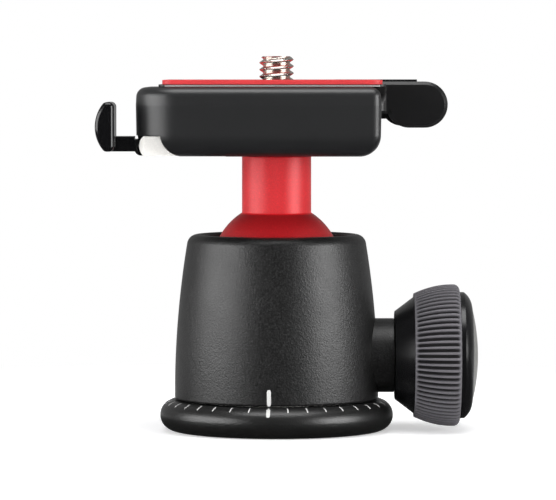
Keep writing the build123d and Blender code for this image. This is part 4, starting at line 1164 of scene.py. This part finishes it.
WHITE, PALE = (1, 1, 1, 1), (0.86, 0.86, 0.87, 1)
FLOOR_REACH = 3.0
FLOOR_TOP = cad_low.z - 0.02 * MM
FLOOR_GLOW = 0.42  # only the camera sees it
NEAR_FLOOR, OPEN_FLOOR = 0.07, 0.16  # the floor turns into backdrop between these
OPEN_GLOW, OPEN_GLOW_SEEN = 0.4, 0.6  # for all, and on top of it for the camera
UNLIT_FROM, UNLIT_FULL, UNLIT_GLOW = 0.09, 0.0, 0.03  # places along Y, and what is left there


floor_mesh = bpy.data.meshes.new("floor")
corners = [
    (x * FLOOR_REACH, y * FLOOR_REACH, FLOOR_TOP) for x, y in ((-1, -1), (1, -1), (1, 1), (-1, 1))
]
floor_mesh.from_pydata(corners, [], [(0, 1, 2, 3)])
floor = new_object("floor", floor_mesh)
floor_material = bpy.data.materials.new("pale_floor")
floor_material.use_nodes = True
floor_tree = Tree(floor_material.node_tree)
floor_shader = floor_material.node_tree.nodes["Principled BSDF"]
floor_shader.inputs["Base Color"].default_value = PALE
floor_shader.inputs["Roughness"].default_value = 0.9
floor_shader.inputs["Emission Color"].default_value = WHITE
rays = floor_tree.node("ShaderNodeLightPath").outputs
glow = floor_tree.math("MULTIPLY", rays["Is Camera Ray"], FLOOR_GLOW)
floor_tree.tree.links.new(glow, floor_shader.inputs["Emission Strength"])
place = floor_tree.node("ShaderNodeTexCoord").outputs["Object"]
away = floor_tree.vector_math("LENGTH", place)
fade = floor_tree.map_range(away, NEAR_FLOOR, OPEN_FLOOR, interpolation_type="SMOOTHSTEP")
seen = floor_tree.math("MAXIMUM", rays["Is Camera Ray"], rays["Is Glossy Ray"])
open_glow = floor_tree.math("MULTIPLY_ADD", rays["Is Camera Ray"], OPEN_GLOW_SEEN, OPEN_GLOW)
open_floor = floor_tree.node("ShaderNodeEmission", {"Color": WHITE, "Strength": open_glow})
fade = floor_tree.math("MULTIPLY", fade, seen)
blend = floor_tree.node("ShaderNodeMixShader", fade, floor_shader.outputs[0], open_floor.outputs[0])
# gloss sees the floor end in front of the object, towards the unlit side of the studio
unlit = floor_tree.map_range(
    floor_tree.object_place()["Y"], UNLIT_FROM, UNLIT_FULL, interpolation_type="SMOOTHSTEP"
)
unlit = floor_tree.math("MULTIPLY", unlit, rays["Is Glossy Ray"])
dark_floor = floor_tree.node("ShaderNodeEmission", {"Color": WHITE, "Strength": UNLIT_GLOW})
blend = floor_tree.node("ShaderNodeMixShader", unlit, blend.outputs[0], dark_floor.outputs[0])
surface = floor_material.node_tree.nodes["Material Output"].inputs["Surface"]
floor_tree.tree.links.new(blend.outputs[0], surface)
floor_mesh.materials.append(floor_material)

AMBIENT = 0.18
ROOM_DARK, ROOM_LIT = 0.04, 0.3  # what gloss sees in front of and behind the object
ROOM_DARK_TO, ROOM_LIT_FROM = -0.1, 0.95  # directions along Y

scene = bpy.context.scene
world = bpy.data.worlds.new("studio")
scene.world = world
world.use_nodes = True
sky = Tree(world.node_tree)
for node in list(world.node_tree.nodes):
    world.node_tree.nodes.remove(node)
rays = sky.node("ShaderNodeLightPath").outputs
direction = sky.node("ShaderNodeSeparateXYZ", sky.node("ShaderNodeTexCoord").outputs["Generated"])
behind = sky.map_range(direction.outputs["Y"], ROOM_DARK_TO, ROOM_LIT_FROM, ROOM_DARK, ROOM_LIT)
ambient = sky.node("ShaderNodeBackground", {"Color": WHITE, "Strength": AMBIENT})
mirrored = sky.node("ShaderNodeBackground", {"Color": WHITE, "Strength": behind})
backdrop = sky.node("ShaderNodeBackground", {"Color": WHITE, "Strength": 1.0})
glossy = sky.math("MAXIMUM", rays["Is Glossy Ray"], rays["Is Transmission Ray"])
mixed = sky.node("ShaderNodeMixShader", glossy, ambient.outputs[0], mirrored.outputs[0])
mixed = sky.node(
    "ShaderNodeMixShader", rays["Is Camera Ray"], mixed.outputs[0], backdrop.outputs[0]
)
sky.node("ShaderNodeOutputWorld", {"Surface": mixed.outputs[0]})


def softbox(name, place, aim, width, height, power, mirrored=True):
    """A rectangular lamp that faces a point. Unless it is mirrored, gloss shows no highlight."""
    light = bpy.data.lights.new(name, "AREA")
    light.shape = "RECTANGLE"
    light.size, light.size_y = width, height
    light.energy = power
    lamp = new_object(name, light)
    lamp.location = place
    lamp.visible_glossy = mirrored
    lamp.rotation_euler = (Vector(aim) - Vector(place)).to_track_quat("-Z", "Y").to_euler()
    return lamp


CENTRE = (0, 0, 0.035)
softbox("left_box", (-0.515, -0.19, 0.1), CENTRE, 0.6, 0.36, 3.2)
softbox("right_box", (0.486, -0.258, 0.1), CENTRE, 0.38, 0.36, 3.0)
softbox("top_box", (0.0, -0.13, 0.73), CENTRE, 0.6, 0.42, 3.7)
softbox("front_fill", (-0.05, -0.95, 0.04), CENTRE, 0.5, 0.3, 4.2, mirrored=False)
softbox("back_fill", (0.05, 0.95, 0.25), CENTRE, 0.5, 0.3, 4.0, mirrored=False)

CAMERA_PLACE = (0.00026, -0.7, 0.066)
CAMERA_PITCH = math.radians(2.695)  # downwards
camera_data = bpy.data.cameras.new("camera")
camera_data.sensor_width = 36
camera_data.lens = 247
camera_data.clip_start, camera_data.clip_end = 0.01, 20
camera = new_object("camera", camera_data)
turned_down = Matrix.Rotation(math.pi / 2 - CAMERA_PITCH, 4, "X")
camera.matrix_world = Matrix.Translation(CAMERA_PLACE) @ turned_down
scene.camera = camera
scene.view_settings.view_transform = "Standard"
